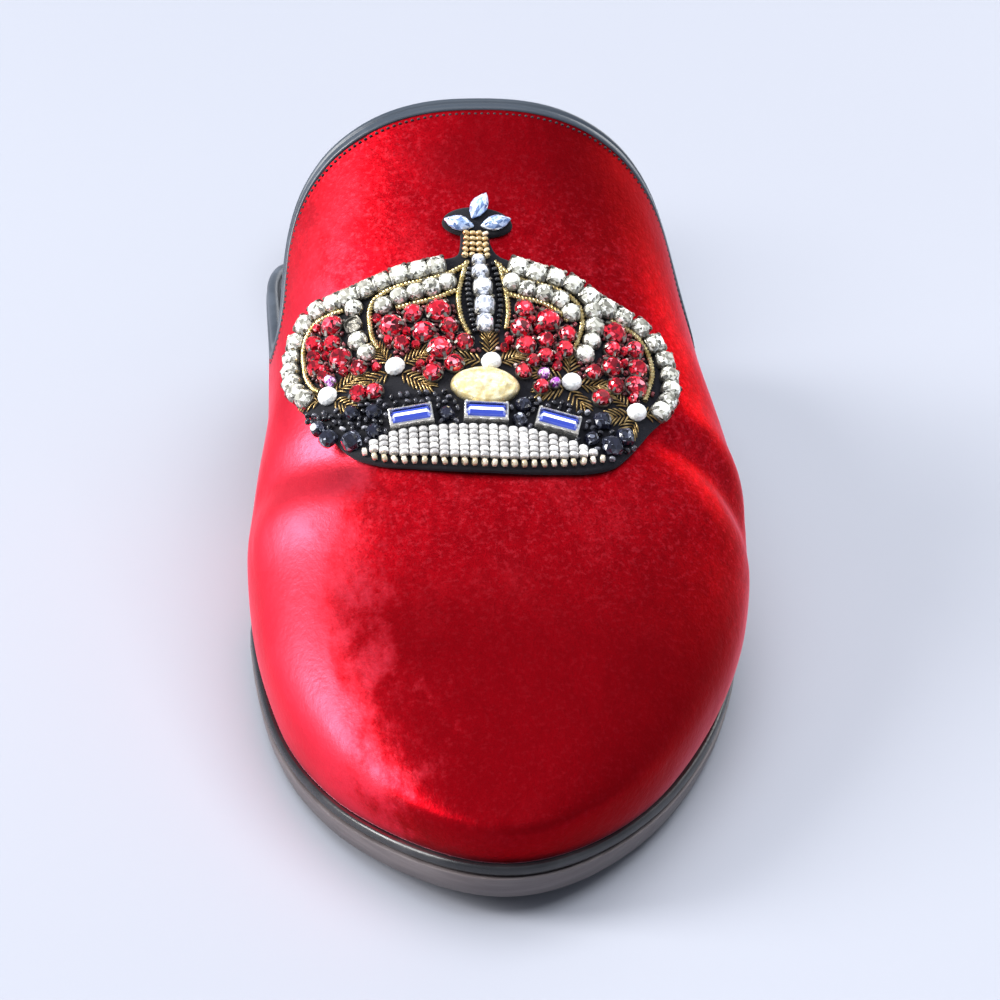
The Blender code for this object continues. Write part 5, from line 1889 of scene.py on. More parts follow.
@dataclass
class Crown:
    """The jewelled crown on black felt: stones, beads, gold cords and wire leaves."""

    on: CrownMap
    felt_foot: float = -0.5 * MM
    felt_top: float = 1.35 * MM
    stone_tall: float = 2.7 * MM
    arch_stone: float = 4.2 * MM
    column_stone: float = 4.1 * MM
    cord_radius: float = 0.56 * MM
    leaf_wire: float = 0.38 * MM
    seed_bead: float = 0.66 * MM
    black_bead: float = 0.70 * MM
    panel_bead: float = 1.02 * MM
    panel_columns: int = 25

    def build(self) -> None:
        """Makes and dresses the pieces of the crown."""
        self.felt()
        self.arches()
        self.pillar()
        self.fields()
        self.flowers()
        self.medallion()
        self.finial()
        self.band()
        self.baguettes()
        self.panel()
        self.cords()

    def patch(self, name: str, outline: np.ndarray, foot: float, top: float, edge: float) -> Piece:
        """Layer of cloth lying on the vamp within an outline, with a rounded rim.

        Args:
            name: the piece's name.
            outline: its corners in u and v, anticlockwise.
            foot: height of its underside.
            top: height of its upper side.
            edge: how far the rim rounds in, in hundredths of the crown's width.

        Returns:
            The new piece.
        """
        along = unit(np.roll(outline, -1, axis=0) - np.roll(outline, 1, axis=0))
        inward = np.stack([-along[:, 1], along[:, 0]], axis=1)
        low = outline.min(axis=0)
        high = outline.max(axis=0)
        columns = (np.arange(low[k], high[k], 1.6) for k in (0, 1))
        grid = np.stack(np.meshgrid(*columns), axis=-1).reshape(-1, 2)
        free = [self.inside(p, outline) and np.linalg.norm(outline - p, axis=1).min() > 1.5 for p in grid]
        flat = [Vector(p) for p in np.concatenate([outline + inward * edge, grid[free]])]
        count = len(outline)
        loop = [(i, (i + 1) % count) for i in range(count)]
        corners, _, faces, _, _, _ = delaunay_2d_cdt(flat, loop, [], 1, 1e-6)
        corners = np.array([tuple(c) for c in corners])
        total = len(corners)
        tall = top - foot
        upper = self.on.place(corners, top)
        lower = self.on.place(corners, foot)
        ring = self.on.place(outline + inward * 0.25 * edge, foot + 0.86 * tall)
        girdle = self.on.place(outline, foot + 0.5 * tall)
        points = np.concatenate([upper, lower, ring, girdle])
        made_faces = [tuple(f) for f in faces] + [tuple(total + i for i in f)[::-1] for f in faces]
        for i in range(count):
            j = (i + 1) % count
            a = 2 * total
            made_faces.append((i, j, a + j, a + i))
            made_faces.append((a + i, a + j, a + count + j, a + count + i))
            made_faces.append((a + count + i, a + count + j, total + j, total + i))
        made = make_mesh(name, points, made_faces)
        right_way_out(made)
        return made

    def inside(self, place: np.ndarray, outline: np.ndarray) -> bool:
        """Whether a point lies within an outline.

        Args:
            place: the point.
            outline: the outline's corners in order.

        Returns:
            True within it.
        """
        x, y = outline.T
        x_next = np.roll(x, -1)
        y_next = np.roll(y, -1)
        crossed = (y > place[1]) != (y_next > place[1])
        with np.errstate(divide="ignore", invalid="ignore"):
            at = x + (place[1] - y) * (x_next - x) / (y_next - y)
        return bool(np.count_nonzero(crossed & (place[0] < at)) % 2)

    def felt(self) -> None:
        """The black felt under the crown, and its lobe under the three marquises."""
        outline = np.array(FELT_OUTLINE)
        closed = smooth_path(np.concatenate([outline, outline[:1]]), 241)[:-1]
        made = self.patch("felt_backing", closed, self.felt_foot, self.felt_top, 0.8)
        settle(made, Felt().build(), "felt", "crown_backing")
        u, v, half_u, half_v = FINIAL_LOBE
        angle = circle(FINIAL_SIDES)
        oval = np.stack([u + half_u * np.cos(angle), v + half_v * np.sin(angle)], axis=1)
        made = self.patch("felt_finial", oval, self.felt_foot, self.felt_top + 0.05 * MM, 0.8)
        settle(made, Felt("finial_felt").build(), "felt", "finial_backing")

    def stones(
        self,
        name: str,
        places: np.ndarray,
        half: np.ndarray,
        cut: Cut,
        finish: CutGlass,
        slot: str,
        nodes: tuple,
        turn: float | np.ndarray = 0.0,
        seed: int = 1,
    ) -> None:
        """Cut stones, each in its claw cup.

        Args:
            name: the stones' name.
            places: u and v of each.
            half: half width along and across, in metres, a row for each.
            cut: their outline.
            finish: the glass.
            slot: the record's material slot.
            nodes: the nodes that they replace.
            turn: degrees from the direction of u.
            seed: seed of their shades and leans.
        """
        size = np.column_stack([half, np.full(len(half), self.stone_tall)])
        levels = ((0.80, 0.10), (0.98, 0.34), (0.97, 0.50), (0.80, 0.76), (0.52, 0.95))
        lift = self.felt_top - 0.1 * MM
        cups = self.on.sow(name + "_cups", places, claw_cup(cut), size, lift, turn, 0.03, seed)
        settle(cups, GUNMETAL.build(), "gold")
        shape = gem(cut, 10, levels, seed + 50)
        made = self.on.sow(name, places, shape, size, self.felt_top - 0.05 * MM, turn, 0.10, seed)
        settle(made, finish.build(), slot, *nodes)

    def halves(self, widths: np.ndarray) -> np.ndarray:
        """Half widths in metres from widths in the crown's own unit, along and across."""
        return np.repeat(widths[:, None] * self.on.unit / 2, 2, axis=1)

    def drawn(self, count: int, wide: float, most: float, seed: int) -> np.ndarray:
        """Half widths of stones that vary at random, from 0.92 of the usual width upwards."""
        draw = np.random.default_rng(seed).uniform(0.92, most, (count, 1))
        return np.repeat(draw * wide / 2, 2, axis=1)

    def along_path(
        self, path: Sequence, pitch: float, jitter: float, seed: int
    ) -> tuple[np.ndarray, np.ndarray]:
        """Points at even steps along a path of the crown.

        Args:
            path: points that it passes through.
            pitch: the step, in hundredths of the crown's width.
            jitter: how far each point may lie off it.
            seed: the seed of that.

        Returns:
            The points, and the path's direction at each in degrees.
        """
        curve = smooth_path(path, 400)
        run = np.linalg.norm(np.diff(curve, axis=0), axis=1).sum()
        found = evenly(curve, int(round(run / pitch)) + 1)
        along = np.gradient(found, axis=0)
        found = found + np.random.default_rng(seed).uniform(-jitter, jitter, found.shape)
        return found, np.degrees(np.arctan2(along[:, 1], along[:, 0]))

    def arches(self) -> None:
        """The clear stones of the two arches and of the columns between them."""
        pitch = 0.90 * (self.arch_stone / self.on.unit)
        for word, seed, outer, inner in (
            ("medial", 11, OUTER_ARCH_MEDIAL, INNER_ARCH_MEDIAL + COLUMN_MEDIAL),
            ("lateral", 23, OUTER_ARCH_LATERAL, INNER_ARCH_LATERAL + COLUMN_LATERAL),
        ):
            places, turn = self.along_path(outer, pitch, 0.14, seed)
            half = self.drawn(len(places), self.arch_stone, 1.06, seed)
            named = ("outer_stones_" + word, places, half, Cut.CUSHION)
            self.stones(*named, CLEAR, "clear_glass", ("outer_arch_" + word,), turn, seed)
            half = self.drawn(len(inner), self.column_stone, 1.05, seed + 1)
            named = ("inner_stones_" + word, np.array(inner), half, Cut.ROUND)
            self.stones(*named, CLEAR, "clear_glass", ("inner_arch_" + word,), 0.0, seed + 2)
        size = (1.8 * MM, 1.8 * MM, self.stone_tall)
        cup = self.on.sow("empty_cup", [EMPTY_CUP], claw_cup(Cut.CUSHION), size, self.felt_top, 10.0)
        settle(cup, Metal("empty_cup_metal", (0.16, 0.15, 0.13), (0.34, 0.32, 0.27), 0.35).build(), "gold")

    def pillar(self) -> None:
        """The clear stones of the pillar and the black beads beside them."""
        table = np.array(PILLAR_STONES)
        named = ("pillar_stones", table[:, :2], table[:, 2:] * self.on.unit, Cut.CUSHION)
        self.stones(*named, CLEAR_PILLAR, "clear_glass", ("pillar",), 0.0, 31)
        pitch = 1.9 * self.seed_bead / self.on.unit
        rows = [self.along_path(row, pitch, 0.08, 41) for row in SEED_ROWS]
        places, turn = (np.concatenate(part) for part in zip(*rows))
        size = np.full(3, self.seed_bead)
        lift = self.felt_top + self.seed_bead
        made = self.on.sow("pillar_seed_beads", places, bead_shape(), size, lift, turn, 0.15, 5)
        beads = BeadGlass("jet_beads", (0.006, 0.006, 0.008), (0.05, 0.05, 0.055), 0.10)
        settle(made, beads.build(), "black_glass")

    def scattered(
        self, table: Sequence, taken: np.ndarray, pitch: float, tries: int, seed: int
    ) -> np.ndarray:
        """Points thrown within a column table, clear of what is taken and of each other.

        Args:
            table: rows of u, low and high.
            taken: rows of u, v and the distance to keep.
            pitch: the least distance between two points.
            tries: how many are thrown.
            seed: the seed of the throws.

        Returns:
            The points that found room.
        """
        table = np.array(table)
        draw = np.random.default_rng(seed)
        kept = []
        for _ in range(tries):
            u = draw.uniform(table[0, 0], table[-1, 0])
            v = draw.uniform(np.interp(u, table[:, 0], table[:, 1]), np.interp(u, table[:, 0], table[:, 2]))
            here = np.array([u, v])
            if len(taken) and (np.linalg.norm(taken[:, :2] - here, axis=1) < taken[:, 2]).any():
                continue
            if kept and np.linalg.norm(np.array(kept) - here, axis=1).min() < pitch:
                continue
            kept.append(here)
        return np.array(kept)

    def fields(self) -> None:
        """The red stones in their dark cups, the violet ones, and small dark beads between them."""
        table = np.array(RED_STONES)
        turn = np.random.default_rng(3).uniform(0, 90, len(table))
        nodes = ("outer_field_medial", "outer_field_lateral", "inner_field_medial", "inner_field_lateral")
        half = self.halves(1.2 * table[:, 2])
        self.stones("red_stones", table[:, :2], half, Cut.ROUND, RED, "red_glass", nodes, turn, 61)
        violet = np.array(VIOLET_STONES)
        half = self.halves(violet[:, 2])
        self.stones("violet_stones", violet[:, :2], half, Cut.ROUND, VIOLET, "violet_glass", (), 0.0, 67)
        room = self.room(table[:, :3], 0.60)
        small = np.array([[0.0, 0.0, 0.65]])
        places = self.scattered(FIELD_REACH, room + small, 2.15, 8000, 73)
        levels = ((0.86, 0.0), (1.0, 0.30), (0.90, 0.62), (0.56, 0.95))
        size = (1.05 * MM, 1.05 * MM, 2.0 * MM)
        shape = gem(Cut.ROUND, 8, levels, 75)
        made = self.on.sow("small_red_stones", places, shape, size, self.felt_top, 0.0, 0.2, 77)
        settle(made, RED.build(), "red_glass")
        room = np.concatenate([room, np.column_stack([places, np.full(len(places), 1.35)])])
        places = self.scattered(FIELD_REACH, room, 1.25, 6000, 71)
        size = np.full(3, 0.62 * MM)
        turn = np.random.default_rng(8).uniform(0, 180, len(places))
        made = self.on.sow("field_beads", places, bead_shape(), size, self.felt_top + 0.45 * MM, turn, 0.4, 9)
        dark, light = (0.020, 0.004, 0.006), (0.26, 0.05, 0.06)
        beads = BeadGlass("dark_red_beads", dark, light, 0.14, glint=(0.55, 0.45, 0.42))
        settle(made, beads.build(), "black_glass")

    def room(self, stones: np.ndarray, share: float) -> np.ndarray:
        """Where small beads of the fields can't stand.

        Args:
            stones: rows of u, v and width.
            share: how much of its width each stone keeps free around its middle.

        Returns:
            Rows of u, v and the distance to keep.
        """
        rows = [np.column_stack([stones[:, :2], stones[:, 2] * share + 0.2])]
        for path, keep in (
            (OUTER_ARCH_MEDIAL, 3.0),
            (OUTER_ARCH_LATERAL, 3.0),
            (INNER_ARCH_MEDIAL, 2.6),
            (INNER_ARCH_LATERAL, 2.6),
            (COLUMN_LATERAL, 2.6),
            ((*COLUMN_MEDIAL[:1], EMPTY_CUP, *COLUMN_MEDIAL[1:]), 2.6),
            (((0.5, 56.0), (0.8, 38.0)), 4.6),
            *((cord, 1.2) for cord in CORDS),
        ):
            line = smooth_path(path, 60)
            rows.append(np.column_stack([line, np.full(len(line), keep)]))
        for u, v in FLOWERS:
            rows.append(np.array([[u, v, 2.6]]))
        for u0, v0, u1, v1 in LEAVES:
            line = np.linspace((u0, v0), (u1, v1), 6)
            rows.append(np.column_stack([line, np.full(6, 1.9)]))
        for u, v, wide in VIOLET_STONES:
            rows.append(np.array([[u, v, wide * 0.7]]))
        rows.append(np.array([[0.0, 24.5, 7.6]]))
        return np.concatenate(rows)

    def flowers(self) -> None:
        """The white stones, each with leaves of gold wire laid in herringbone."""
        places = np.array(FLOWERS)
        size = np.array([2.15 * MM, 1.95 * MM, 2.5 * MM])
        levels = ((0.86, 0.0), (1.0, 0.22), (1.0, 0.40), (0.86, 0.70), (0.60, 0.92), (0.30, 1.0))
        shape = gem(Cut.ROUND, 12, levels, 7)
        made = self.on.sow("white_stones", places, shape, size, self.felt_top, 20.0, 0.05, 3)
        settle(made, WHITE.build(), "pearl_glass", *(f"white_stone_{k + 1}" for k in range(5)))
        starts = []
        turns = []
        lengths = []
        for u0, v0, u1, v1 in LEAVES:
            base = np.array([u0, v0])
            rib = np.array([u1, v1]) - base
            long = np.linalg.norm(rib)
            heading = math.degrees(math.atan2(rib[1], rib[0]))
            count = int(long / 0.85)
            for k in range(count):
                s = (k + 0.3) / count
                for side in (-1, 1):
                    starts.append(base + rib * s)
                    turns.append(heading + side * (50 - 26 * s))
                    lengths.append(3.3 * math.sin(math.pi * (0.22 + 0.62 * s)) + 0.3)
            starts.append(base + rib * 0.72)
            turns.append(heading)
            lengths.append(0.34 * long)
        size = np.column_stack([np.array(lengths) * self.on.unit, np.full((len(starts), 2), self.leaf_wire)])
        lift = self.felt_top + 0.15 * MM
        made = self.on.sow("wire_leaves", starts, wire_shape(), size, lift, turns, 0.05, 13)
        gold = Metal("leaf_gold", (0.26, 0.16, 0.055), (0.66, 0.47, 0.21), 0.34, wave=2600)
        settle(made, gold.build(), "gold")

    def medallion(self) -> None:
        """The plain hammered dome of pale gold."""
        rings = 16
        sides = 56
        draw = np.random.default_rng(17)
        dents = np.column_stack([draw.uniform(-1, 1, (46, 2)), draw.uniform(0.5, 1.0, 46)])
        points = []
        for k in range(rings + 1):
            share = math.sin(0.5 * math.pi * (k / rings)) if k else 0.0
            for angle in circle(sides)[: sides if k else 1]:
                x = share * math.cos(angle)
                y = share * math.sin(angle)
                narrow = 1 - 0.16 * max(0.0, -y)
                height = 1.9 * max(0.0, 1 - share**2.6) ** 0.5 + 0.35
                for dx, dy, deep in dents:
                    gone = ((x - dx) ** 2 + (y - dy) ** 2) / 0.014
                    height -= 0.16 * deep * math.exp(-gone)
                height += 0.22 * math.exp(-(((share - 0.90) / 0.05) ** 2))
                points.append((x * 7.5 * narrow, 23.9 + y * 4.7, height * MM))
        table = np.array(points)
        top = self.on.place(table[:, :2], self.felt_top + 0.7 * MM + table[:, 2])
        base = self.on.place(table[-sides:, :2], self.felt_top - 0.1 * MM)
        faces = [(0, 1 + i, 1 + (i + 1) % sides) for i in range(sides)]
        faces += ring_faces(rings + 1, sides, 1, caps=False)
        faces.append(tuple(range(len(top), len(top) + sides)))
        made = make_mesh("hammered_medallion", np.concatenate([top, base]), faces)
        right_way_out(made)
        gold = Metal("pale_gold", (0.74, 0.58, 0.27), (1.0, 0.90, 0.60), 0.26, hammer=True, metallic=0.6)
        settle(made, gold.build(), "gold", "medallion")

    def finial(self) -> None:
        """The three marquises and the gold beads that carry them."""
        levels = ((0.86, 0.0), (1.0, 0.28), (0.97, 0.42), (0.66, 0.80), (0.34, 1.0))
        for k, (u, v, turn, half_long, half_wide) in enumerate(MARQUISE_PLACES):
            size = np.array([half_long * self.on.unit, half_wide * self.on.unit, 2.4 * MM])
            shape = gem(Cut.MARQUISE, 10, levels, 80 + k)
            made = self.on.sow(f"marquise_{k + 1}", [(u, v)], shape, size, self.felt_top, turn, 0.0, k)
            settle(made, PALE_BLUE.build(), "blue_glass", MARQUISE_NODES[k])
        places = []
        turns = []
        for row, (v, half) in enumerate(((57.6, 2.4), (59.0, 2.3), (60.4, 2.1), (61.8, 2.0), (63.2, 2.1))):
            for u in np.linspace(-half, half, 4):
                places.append((u - 0.4 + 0.05 * row, v))
                turns.append(90.0 + 12 * u)
        wide = 0.74 * MM
        size = np.full(3, wide)
        lift = self.felt_top + wide
        made = self.on.sow("gold_seed_beads", places, bead_shape(), size, lift, turns, 0.2, 19)
        dark, light = (0.58, 0.38, 0.16), (0.98, 0.82, 0.52)
        beads = BeadGlass("gold_beads", dark, light, 0.22, glint=(1.0, 0.92, 0.80), metallic=0.5)
        settle(made, beads.build(), "gold", "gold_setting")

    def band(self) -> None:
        """The black beads and stones between the panel and the leaves."""
        stones = np.array(BLACK_STONES)
        half = self.halves(stones[:, 2])
        size = np.column_stack([half, np.full(len(half), 2.3 * MM)])
        levels = ((0.90, 0.0), (1.0, 0.24), (0.96, 0.48), (0.74, 0.82), (0.46, 1.0))
        shape = gem(Cut.CUSHION, 10, levels, 90)
        made = self.on.sow("black_stones", stones[:, :2], shape, size, self.felt_top, 20.0, 0.25, 21)
        settle(made, JET.build(), "black_glass")
        taken = [np.column_stack([stones[:, :2], stones[:, 2] * 0.60 + 0.4])]
        for u, v, turn in BAGUETTE_PLACES:
            angle = math.radians(turn)
            for s in np.linspace(-3.9, 3.9, 9):
                taken.append(np.array([[u + s * math.cos(angle), v + s * math.sin(angle), 2.6]]))
        taken.append(np.array([[0.0, 24.1, 6.2], [-3.4, 24.1, 5.4], [3.4, 24.1, 5.4]]))
        for u0, v0, u1, v1 in LEAVES:
            line = np.linspace((u0, v0), (u1, v1), 6)
            taken.append(np.column_stack([line, np.full(6, 1.7)]))
        places = self.scattered(BLACK_BAND, np.concatenate(taken), 1.42, 9000, 29)
        turn = np.random.default_rng(6).uniform(0, 180, len(places))
        size = np.full(3, self.black_bead)
        lift = self.felt_top + self.black_bead * 0.9
        made = self.on.sow("black_beads", places, bead_shape(), size, lift, turn, 0.35, 33)
        dark, light = (0.004, 0.004, 0.006), (0.09, 0.09, 0.11)
        beads = BeadGlass("black_beads", dark, light, 0.09, glint=(0.60, 0.60, 0.64))
        settle(made, beads.build(), "black_glass", "bead_band")

    def baguettes(self) -> None:
        """The three oblong blue stones in their silver frames."""
        half_long = 4.55 * MM
        half_wide = 2.05 * MM
        tall = 3.0 * MM
        for name, (u, v, turn) in zip(("medial", "middle", "lateral"), BAGUETTE_PLACES):
            size = (half_long, half_long, tall)
            shape = baguette_frame(half_wide / half_long)
            made = self.on.sow("baguette_frame_" + name, [(u, v)], shape, size, self.felt_top, turn)
            silver = Metal("silver_" + name, (0.62, 0.60, 0.56), (0.90, 0.89, 0.86), 0.25)
            settle(made, silver.build(), "gold")
            size = (half_long * 0.88, half_wide * 0.80, tall * 0.55)
            lift = self.felt_top + 0.46 * tall
            made = self.on.sow("baguette_stone_" + name, [(u, v)], baguette_glass(), size, lift, turn)
            settle(made, LAVENDER.build(), "blue_glass", "baguette_" + name)

    def panel(self) -> None:
        """The columns of clear beads, with a row of pale gold ones along their foot."""
        table = np.array(BEAD_PANEL)
        pitch = 1.28 * self.panel_bead / self.on.unit
        places = []
        gold = []
        for u in np.linspace(table[0, 0] + 0.9, table[-1, 0] - 0.9, self.panel_columns):
            low = np.interp(u, table[:, 0], table[:, 1])
            high = np.interp(u, table[:, 0], table[:, 2])
            count = max(1, int(round((high - low) / pitch)))
            for k in range(count):
                v = low + (k + 0.5) * (high - low) / count
                (gold if k == 0 else places).append((u, v))
        size = np.full(3, self.panel_bead)
        lift = self.felt_top + 0.9 * self.panel_bead
        made = self.on.sow("panel_beads", places, bead_shape(0.66), size, lift, 90.0, 0.07, 37)
        dark, light = (0.44, 0.42, 0.41), (0.90, 0.88, 0.85)
        pearl = BeadGlass("silver_lined_beads", dark, light, 0.12, glint=(1.0, 0.97, 0.95), metallic=0.35)
        settle(made, pearl.build(), "pearl_glass", "bead_panel")
        first = np.array(gold) + (0.0, -0.25)
        lift = self.felt_top + 0.6 * self.panel_bead
        made = self.on.sow("panel_foot_beads", first, bead_shape(0.7), size * 0.85, lift, 10.0, 0.25, 39)
        dark, light = (0.56, 0.46, 0.30), (0.90, 0.82, 0.66)
        beads = BeadGlass("pale_gold_beads", dark, light, 0.2, glint=(1.0, 0.92, 0.80), metallic=0.5)
        settle(made, beads.build(), "gold", "gold_edging")

    def cords(self) -> None:
        """The twisted gold cords beside the arches and the pillar."""
        profile = lobed_profile()
        material = Metal("cord_gold", (0.52, 0.37, 0.13), (0.95, 0.78, 0.42), 0.26).build()
        runs = []
        edges = []
        for cord in CORDS:
            line = smooth_path(cord, 60)
            start = sum(len(run) for run in runs)
            runs.append(self.on.place(line, self.felt_top + 1.1 * self.cord_radius))
            edges += [(start + i, start + i + 1) for i in range(len(line) - 1)]
        made = edge_object("gold_cords", np.concatenate(runs), edges)
        sizes = {"Radius": self.cord_radius, "Step": 0.30 * MM, "Lay": 2.4 * MM}
        cord_tree().run(made, Profile=profile, Material=material, **sizes)
        bpy.data.objects.remove(profile)
        made.data.polygons.foreach_set("use_smooth", [True] * len(made.data.polygons))
        right_way_out(made)
        settle(made, material, "gold")


@dataclass
class Sole:
    """Outsole, rand, insole, stacked heel and top lift."""

    steps: int = 150
    outsole_waist: tuple = (0.35, 0.45)
    rand_round: float = 0.5 * MM
    insole_clear: float = 0.5 * MM
    insole_edge: float = 1.0 * MM
    seat_depth: float = 0.5 * MM

    def build(self) -> None:
        """Makes and dresses the layers of the sole."""
        self.outsole()
        self.rand()
        self.insole()
        self.heel()

    def plate(
        self,
        name: str,
        levels: Sequence[tuple[float | np.ndarray, Callable[[np.ndarray], np.ndarray]]],
        start: float = 0.0,
    ) -> Piece:
        """Layer of the sole from rings of inset and height, closed by flat faces.

        Args:
            name: the piece's name.
            levels: pairs from the bottom up, of inset and function from t to z.
            start: where the layer begins, 0 for the toe.

        Returns:
            The new piece.
        """
        rings = []
        n = self.steps
        for inset, height in levels:
            ring = []
            for side in (1, -1):
                edge = LAST.sole_edge(inset, side)
                if start:
                    x = np.interp(start, edge[:, 0], edge[:, 1])
                    edge = np.concatenate([[(start, x)], edge[edge[:, 0] > start]])
                share = (1 - np.cos(np.linspace(0, math.pi, n + 1))) / 2
                run = np.linspace(0, 1, n + 1)
                picked = evenly(edge, FINE)[np.round((0.45 * share + 0.55 * run) * (FINE - 1)).astype(int)]
                ring.append(picked if side > 0 else picked[::-1])
            lateral, medial = ring
            loop = np.concatenate([lateral, medial[1:-1] if not start else medial[1:]])
            rings.append(LAST.world(loop[:, 0], loop[:, 1], height(loop[:, 0])))
        count = len(rings[0])
        faces = ring_faces(len(rings), count, caps=False)
        for base, flip in ((0, True), ((len(rings) - 1) * count, False)):
            lateral_run = [base + i for i in range(n + 1)]
            if start:
                medial_run = [base + count - 1 - i for i in range(n)] + [base + n]
            else:
                medial_run = [base] + [base + count - i for i in range(1, n)] + [base + n]
            for i in range(n):
                face = []
                for corner in (lateral_run[i], lateral_run[i + 1], medial_run[i + 1], medial_run[i]):
                    if corner not in face:
                        face.append(corner)
                faces.append(face[::-1] if flip else face)
        made = make_mesh(name, np.concatenate(rings), faces)
        made.data.set_sharp_from_angle(angle=math.radians(38))
        return made

    def outsole(self) -> None:
        """The outsole, with its stained edge slanted in towards the ground."""
        thick = LAST.outsole_thick
        waist, waist_height = self.outsole_waist
        levels = [
            (LAST.outsole_bevel + 0.3 * MM, LAST.under_z),
            (LAST.outsole_bevel, lambda t: LAST.under_z(t) + 0.25 * MM),
            (waist * LAST.outsole_bevel, lambda t: LAST.under_z(t) + waist_height * thick),
            (0.0, lambda t: LAST.under_z(t) + thick - 0.7 * MM),
            (0.05 * MM, lambda t: LAST.under_z(t) + thick - 0.25 * MM),
            (0.4 * MM, lambda t: LAST.under_z(t) + thick),
        ]
        made = self.plate("leather_outsole", levels)
        leather = EdgeLeather("outsole_edge", (0.088, 0.072, 0.074), (0.150, 0.128, 0.130), 40 * MM)
        settle(made, leather.build(), "outsole_leather", "outsole")

    def rand(self) -> None:
        """The black rand between outsole and velvet, rounded over."""
        angle = np.linspace(-math.pi / 2, math.pi / 2, 9)
        half = LAST.rand_thick / 2
        levels = [
            (
                half * 0.75 * (1 - math.cos(a)),
                lambda t, a=a: LAST.rand_foot(t) + half * (1 + math.sin(a)),
            )
            for a in angle
        ]
        made = self.plate("leather_rand", levels)
        leather = Leather("rand_leather", (0.010, 0.010, 0.012), (0.03, 0.03, 0.033), 0.30, 0.05 * MM)
        settle(made, leather.build(), "rand_leather", "rand")

    def insole(self) -> None:
        """The padded insole under the foot."""
        t = LAST.length * (1 - np.cos(np.linspace(0, math.pi, FINE))) / 2
        inside = follow(INSOLE, 1, t / LAST.length)
        lean = follow(INSOLE, 2, t / LAST.length)
        inset = inside * (LAST.ledge + lean * LAST.wall + self.insole_clear) + (1 - inside) * self.insole_edge
        base = LAST.gap
        thick = LAST.insole_thick
        levels = [
            (inset, lambda t: LAST.rand_top(t) + base),
            (inset, lambda t: LAST.rand_top(t) + base + 0.5 * thick),
            (inset + 0.15 * MM, lambda t: LAST.rand_top(t) + base + 0.82 * thick),
            (inset + 0.7 * MM, lambda t: LAST.rand_top(t) + base + thick),
            (inset + 3.0 * MM, lambda t: LAST.rand_top(t) + base + thick - 0.05 * MM),
        ]
        made = self.plate("leather_insole", levels)
        leather = Leather("insole_leather", (0.016, 0.016, 0.018), (0.026, 0.026, 0.029), 0.46, 0.10 * MM)
        settle(made, leather.build(), "insole_leather", "insole")

    def heel(self) -> None:
        """The stacked heel and the top lift that it stands on."""
        split = LAST.top_lift_thick + LAST.gap
        inset = LAST.heel_inset
        stack = [
            (inset + self.rand_round + 0.2 * MM, lambda t: np.full_like(t, split)),
            (inset + self.rand_round, lambda t: np.full_like(t, split + 0.3 * MM)),
            (inset, lambda t: LAST.under_z(t) - LAST.gap),
        ]
        made = self.plate("stacked_heel", stack, LAST.heel_front)
        leather = EdgeLeather("heel_edge", (0.055, 0.040, 0.034), (0.11, 0.085, 0.07), 3.0 * MM)
        settle(made, leather.build(), "heel_leather", "heel")
        lift = [
            (inset + 2 * self.rand_round, lambda t: np.zeros_like(t)),
            (inset + self.rand_round, lambda t: np.full_like(t, self.rand_round)),
            (inset + self.rand_round, lambda t: np.full_like(t, LAST.top_lift_thick - 0.3 * MM)),
            (inset + self.rand_round + 0.2 * MM, lambda t: np.full_like(t, LAST.top_lift_thick)),
        ]
        made = self.plate("rubber_top_lift", lift, LAST.heel_front)
        settle(made, Rubber().build(), "lift_rubber", "top_lift")


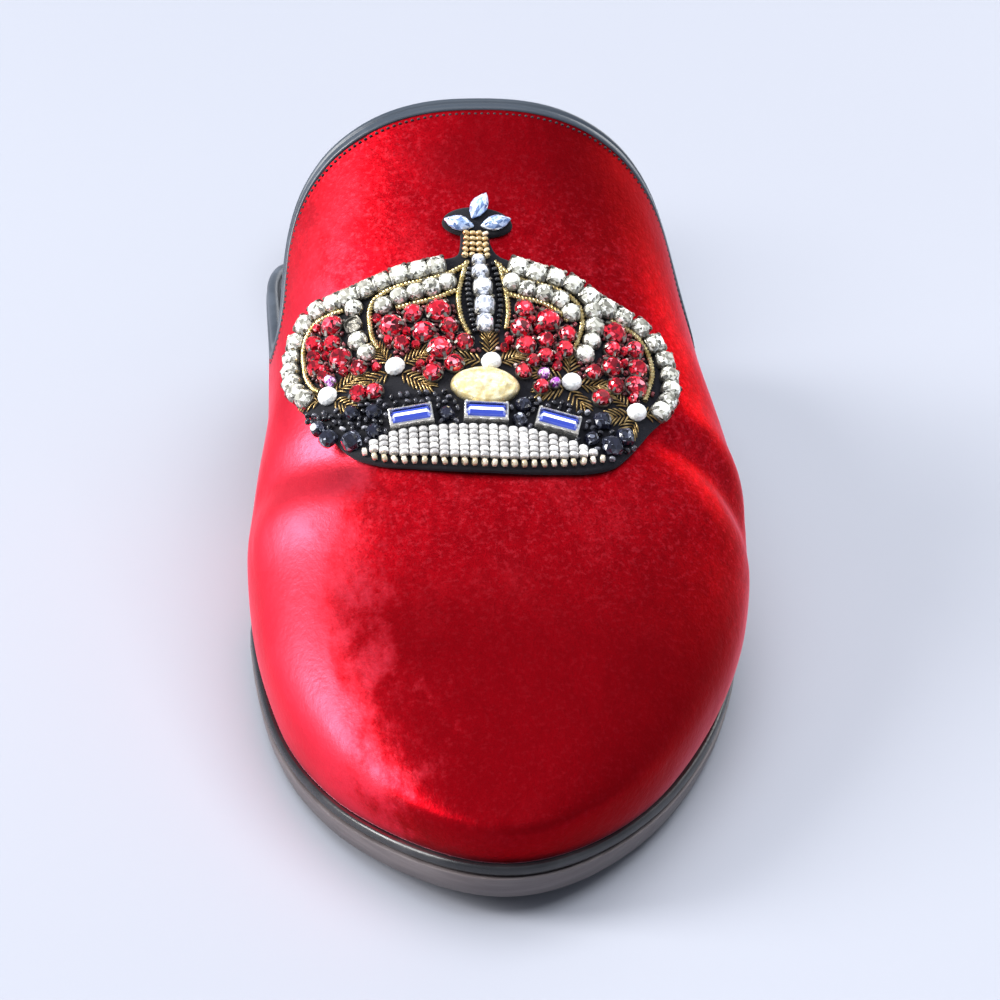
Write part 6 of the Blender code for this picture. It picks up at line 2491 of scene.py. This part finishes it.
@dataclass(frozen=True)
class Studio:
    """Pale floor, soft light from the left, and the camera at the photograph's angle."""

    camera_place: tuple = (-0.0770, -0.8364, 0.4568)
    camera_pitch: float = math.radians(32.0)
    camera_yaw: float = math.radians(-1.7)
    photo_focal: float = 2750.0
    photo_middle: tuple = (500.0, 500.0)
    shoe_middle: tuple = (701.0, 489.0)
    focal: float = 3850.0
    sensor: float = 36.0
    picture: float = 1000.0
    floor_size: float = 8.0

    def build(self) -> None:
        """Makes the camera, the floor and the lights."""
        self.camera()
        self.floor()
        self.lights()
        self.world()

    def camera(self) -> None:
        """The camera where the photograph's stood, turned to the one shoe."""
        turn = Matrix.Rotation(self.camera_yaw, 4, "Z")
        turn = turn @ Matrix.Rotation(math.pi / 2 - self.camera_pitch, 4, "X")
        ray = Vector((
            (self.shoe_middle[0] - self.photo_middle[0]) / self.photo_focal,
            -(self.shoe_middle[1] - self.photo_middle[1]) / self.photo_focal,
            -1.0,
        ))
        aim = Vector((0, 0, -1)).rotation_difference(ray.normalized()).to_matrix().to_4x4()
        data = bpy.data.cameras.new("camera")
        data.sensor_width = self.sensor
        data.lens = self.focal * self.sensor / self.picture
        data.clip_start = 0.05
        data.clip_end = 50.0
        made = bpy.data.objects.new("camera", data)
        bpy.context.scene.collection.objects.link(made)
        made.matrix_world = Matrix.Translation(self.camera_place) @ turn @ aim
        bpy.context.scene.camera = made

    def floor(self) -> None:
        """The seamless pale ground."""
        half = self.floor_size / 2
        points = np.array([(-half, -half, 0), (half, -half, 0), (half, half, 0), (-half, half, 0)])
        made = make_mesh("floor", points, [(0, 1, 2, 3)])
        g = Graph("pale_floor")
        cloud = g.noise(3.0, 2)
        g.set(
            Base_Color=g.mix(cloud, (0.268, 0.277, 0.316), (0.288, 0.297, 0.336)),
            Roughness=0.55,
        )
        made.data.materials.append(g.material)

    def area(
        self,
        name: str,
        place: tuple,
        aim: tuple,
        size: tuple,
        power: float,
        colour: tuple,
        gloss: bool = True,
    ) -> None:
        """One soft light.

        Args:
            name: the light's name.
            place: where it stands.
            aim: the point that it faces.
            size: its width and height.
            power: watts.
            colour: its colour.
            gloss: whether it shows in reflections.
        """
        data = bpy.data.lights.new(name, "AREA")
        data.shape = "RECTANGLE"
        data.size, data.size_y = size
        data.energy = power
        data.color = colour
        made = bpy.data.objects.new(name, data)
        made.location = place
        made.visible_glossy = gloss
        made.rotation_euler = (Vector(aim) - Vector(place)).to_track_quat("-Z", "Y").to_euler()
        bpy.context.scene.collection.objects.link(made)

    def lights(self) -> None:
        """A broad key from the upper left, a weak fill and a top light."""
        aim = (0.0, -0.13, 0.04)
        self.area("key", (-2.1, -0.2, 1.25), aim, (0.9, 1.4), 100.0, (1.0, 0.99, 0.98))
        self.area("top", (0.1, -0.1, 1.8), aim, (2.0, 2.0), 72.0, (0.95, 0.975, 1.0), gloss=False)
        self.area("crest", (0.10, 0.15, 1.6), aim, (1.0, 0.8), 2.0, (1.0, 0.99, 0.98))
        self.area("rim", (1.1, 1.3, 0.45), aim, (1.0, 1.0), 10.0, (1.0, 0.99, 0.98))
        self.area("fill", (1.3, -0.6, 0.8), aim, (1.0, 1.0), 0.8, (0.92, 0.96, 1.0), gloss=False)

    def world(self) -> None:
        """Even pale surroundings."""
        world = bpy.data.worlds.new("studio")
        world.use_nodes = True
        bpy.context.scene.world = world
        back = world.node_tree.nodes["Background"]
        back.inputs["Color"].default_value = (0.80, 0.87, 1.0, 1)
        back.inputs["Strength"].default_value = 0.52
        bpy.context.scene.view_settings.view_transform = "Standard"


def main() -> None:
    """Builds every sub-assembly in order."""
    logging.basicConfig(level=logging.INFO, format="%(message)s")
    upper = Upper()
    upper.build()
    Sole().build()
    Crown(CrownMap()).build()
    Studio().build()


if __name__ == "__main__":
    main()
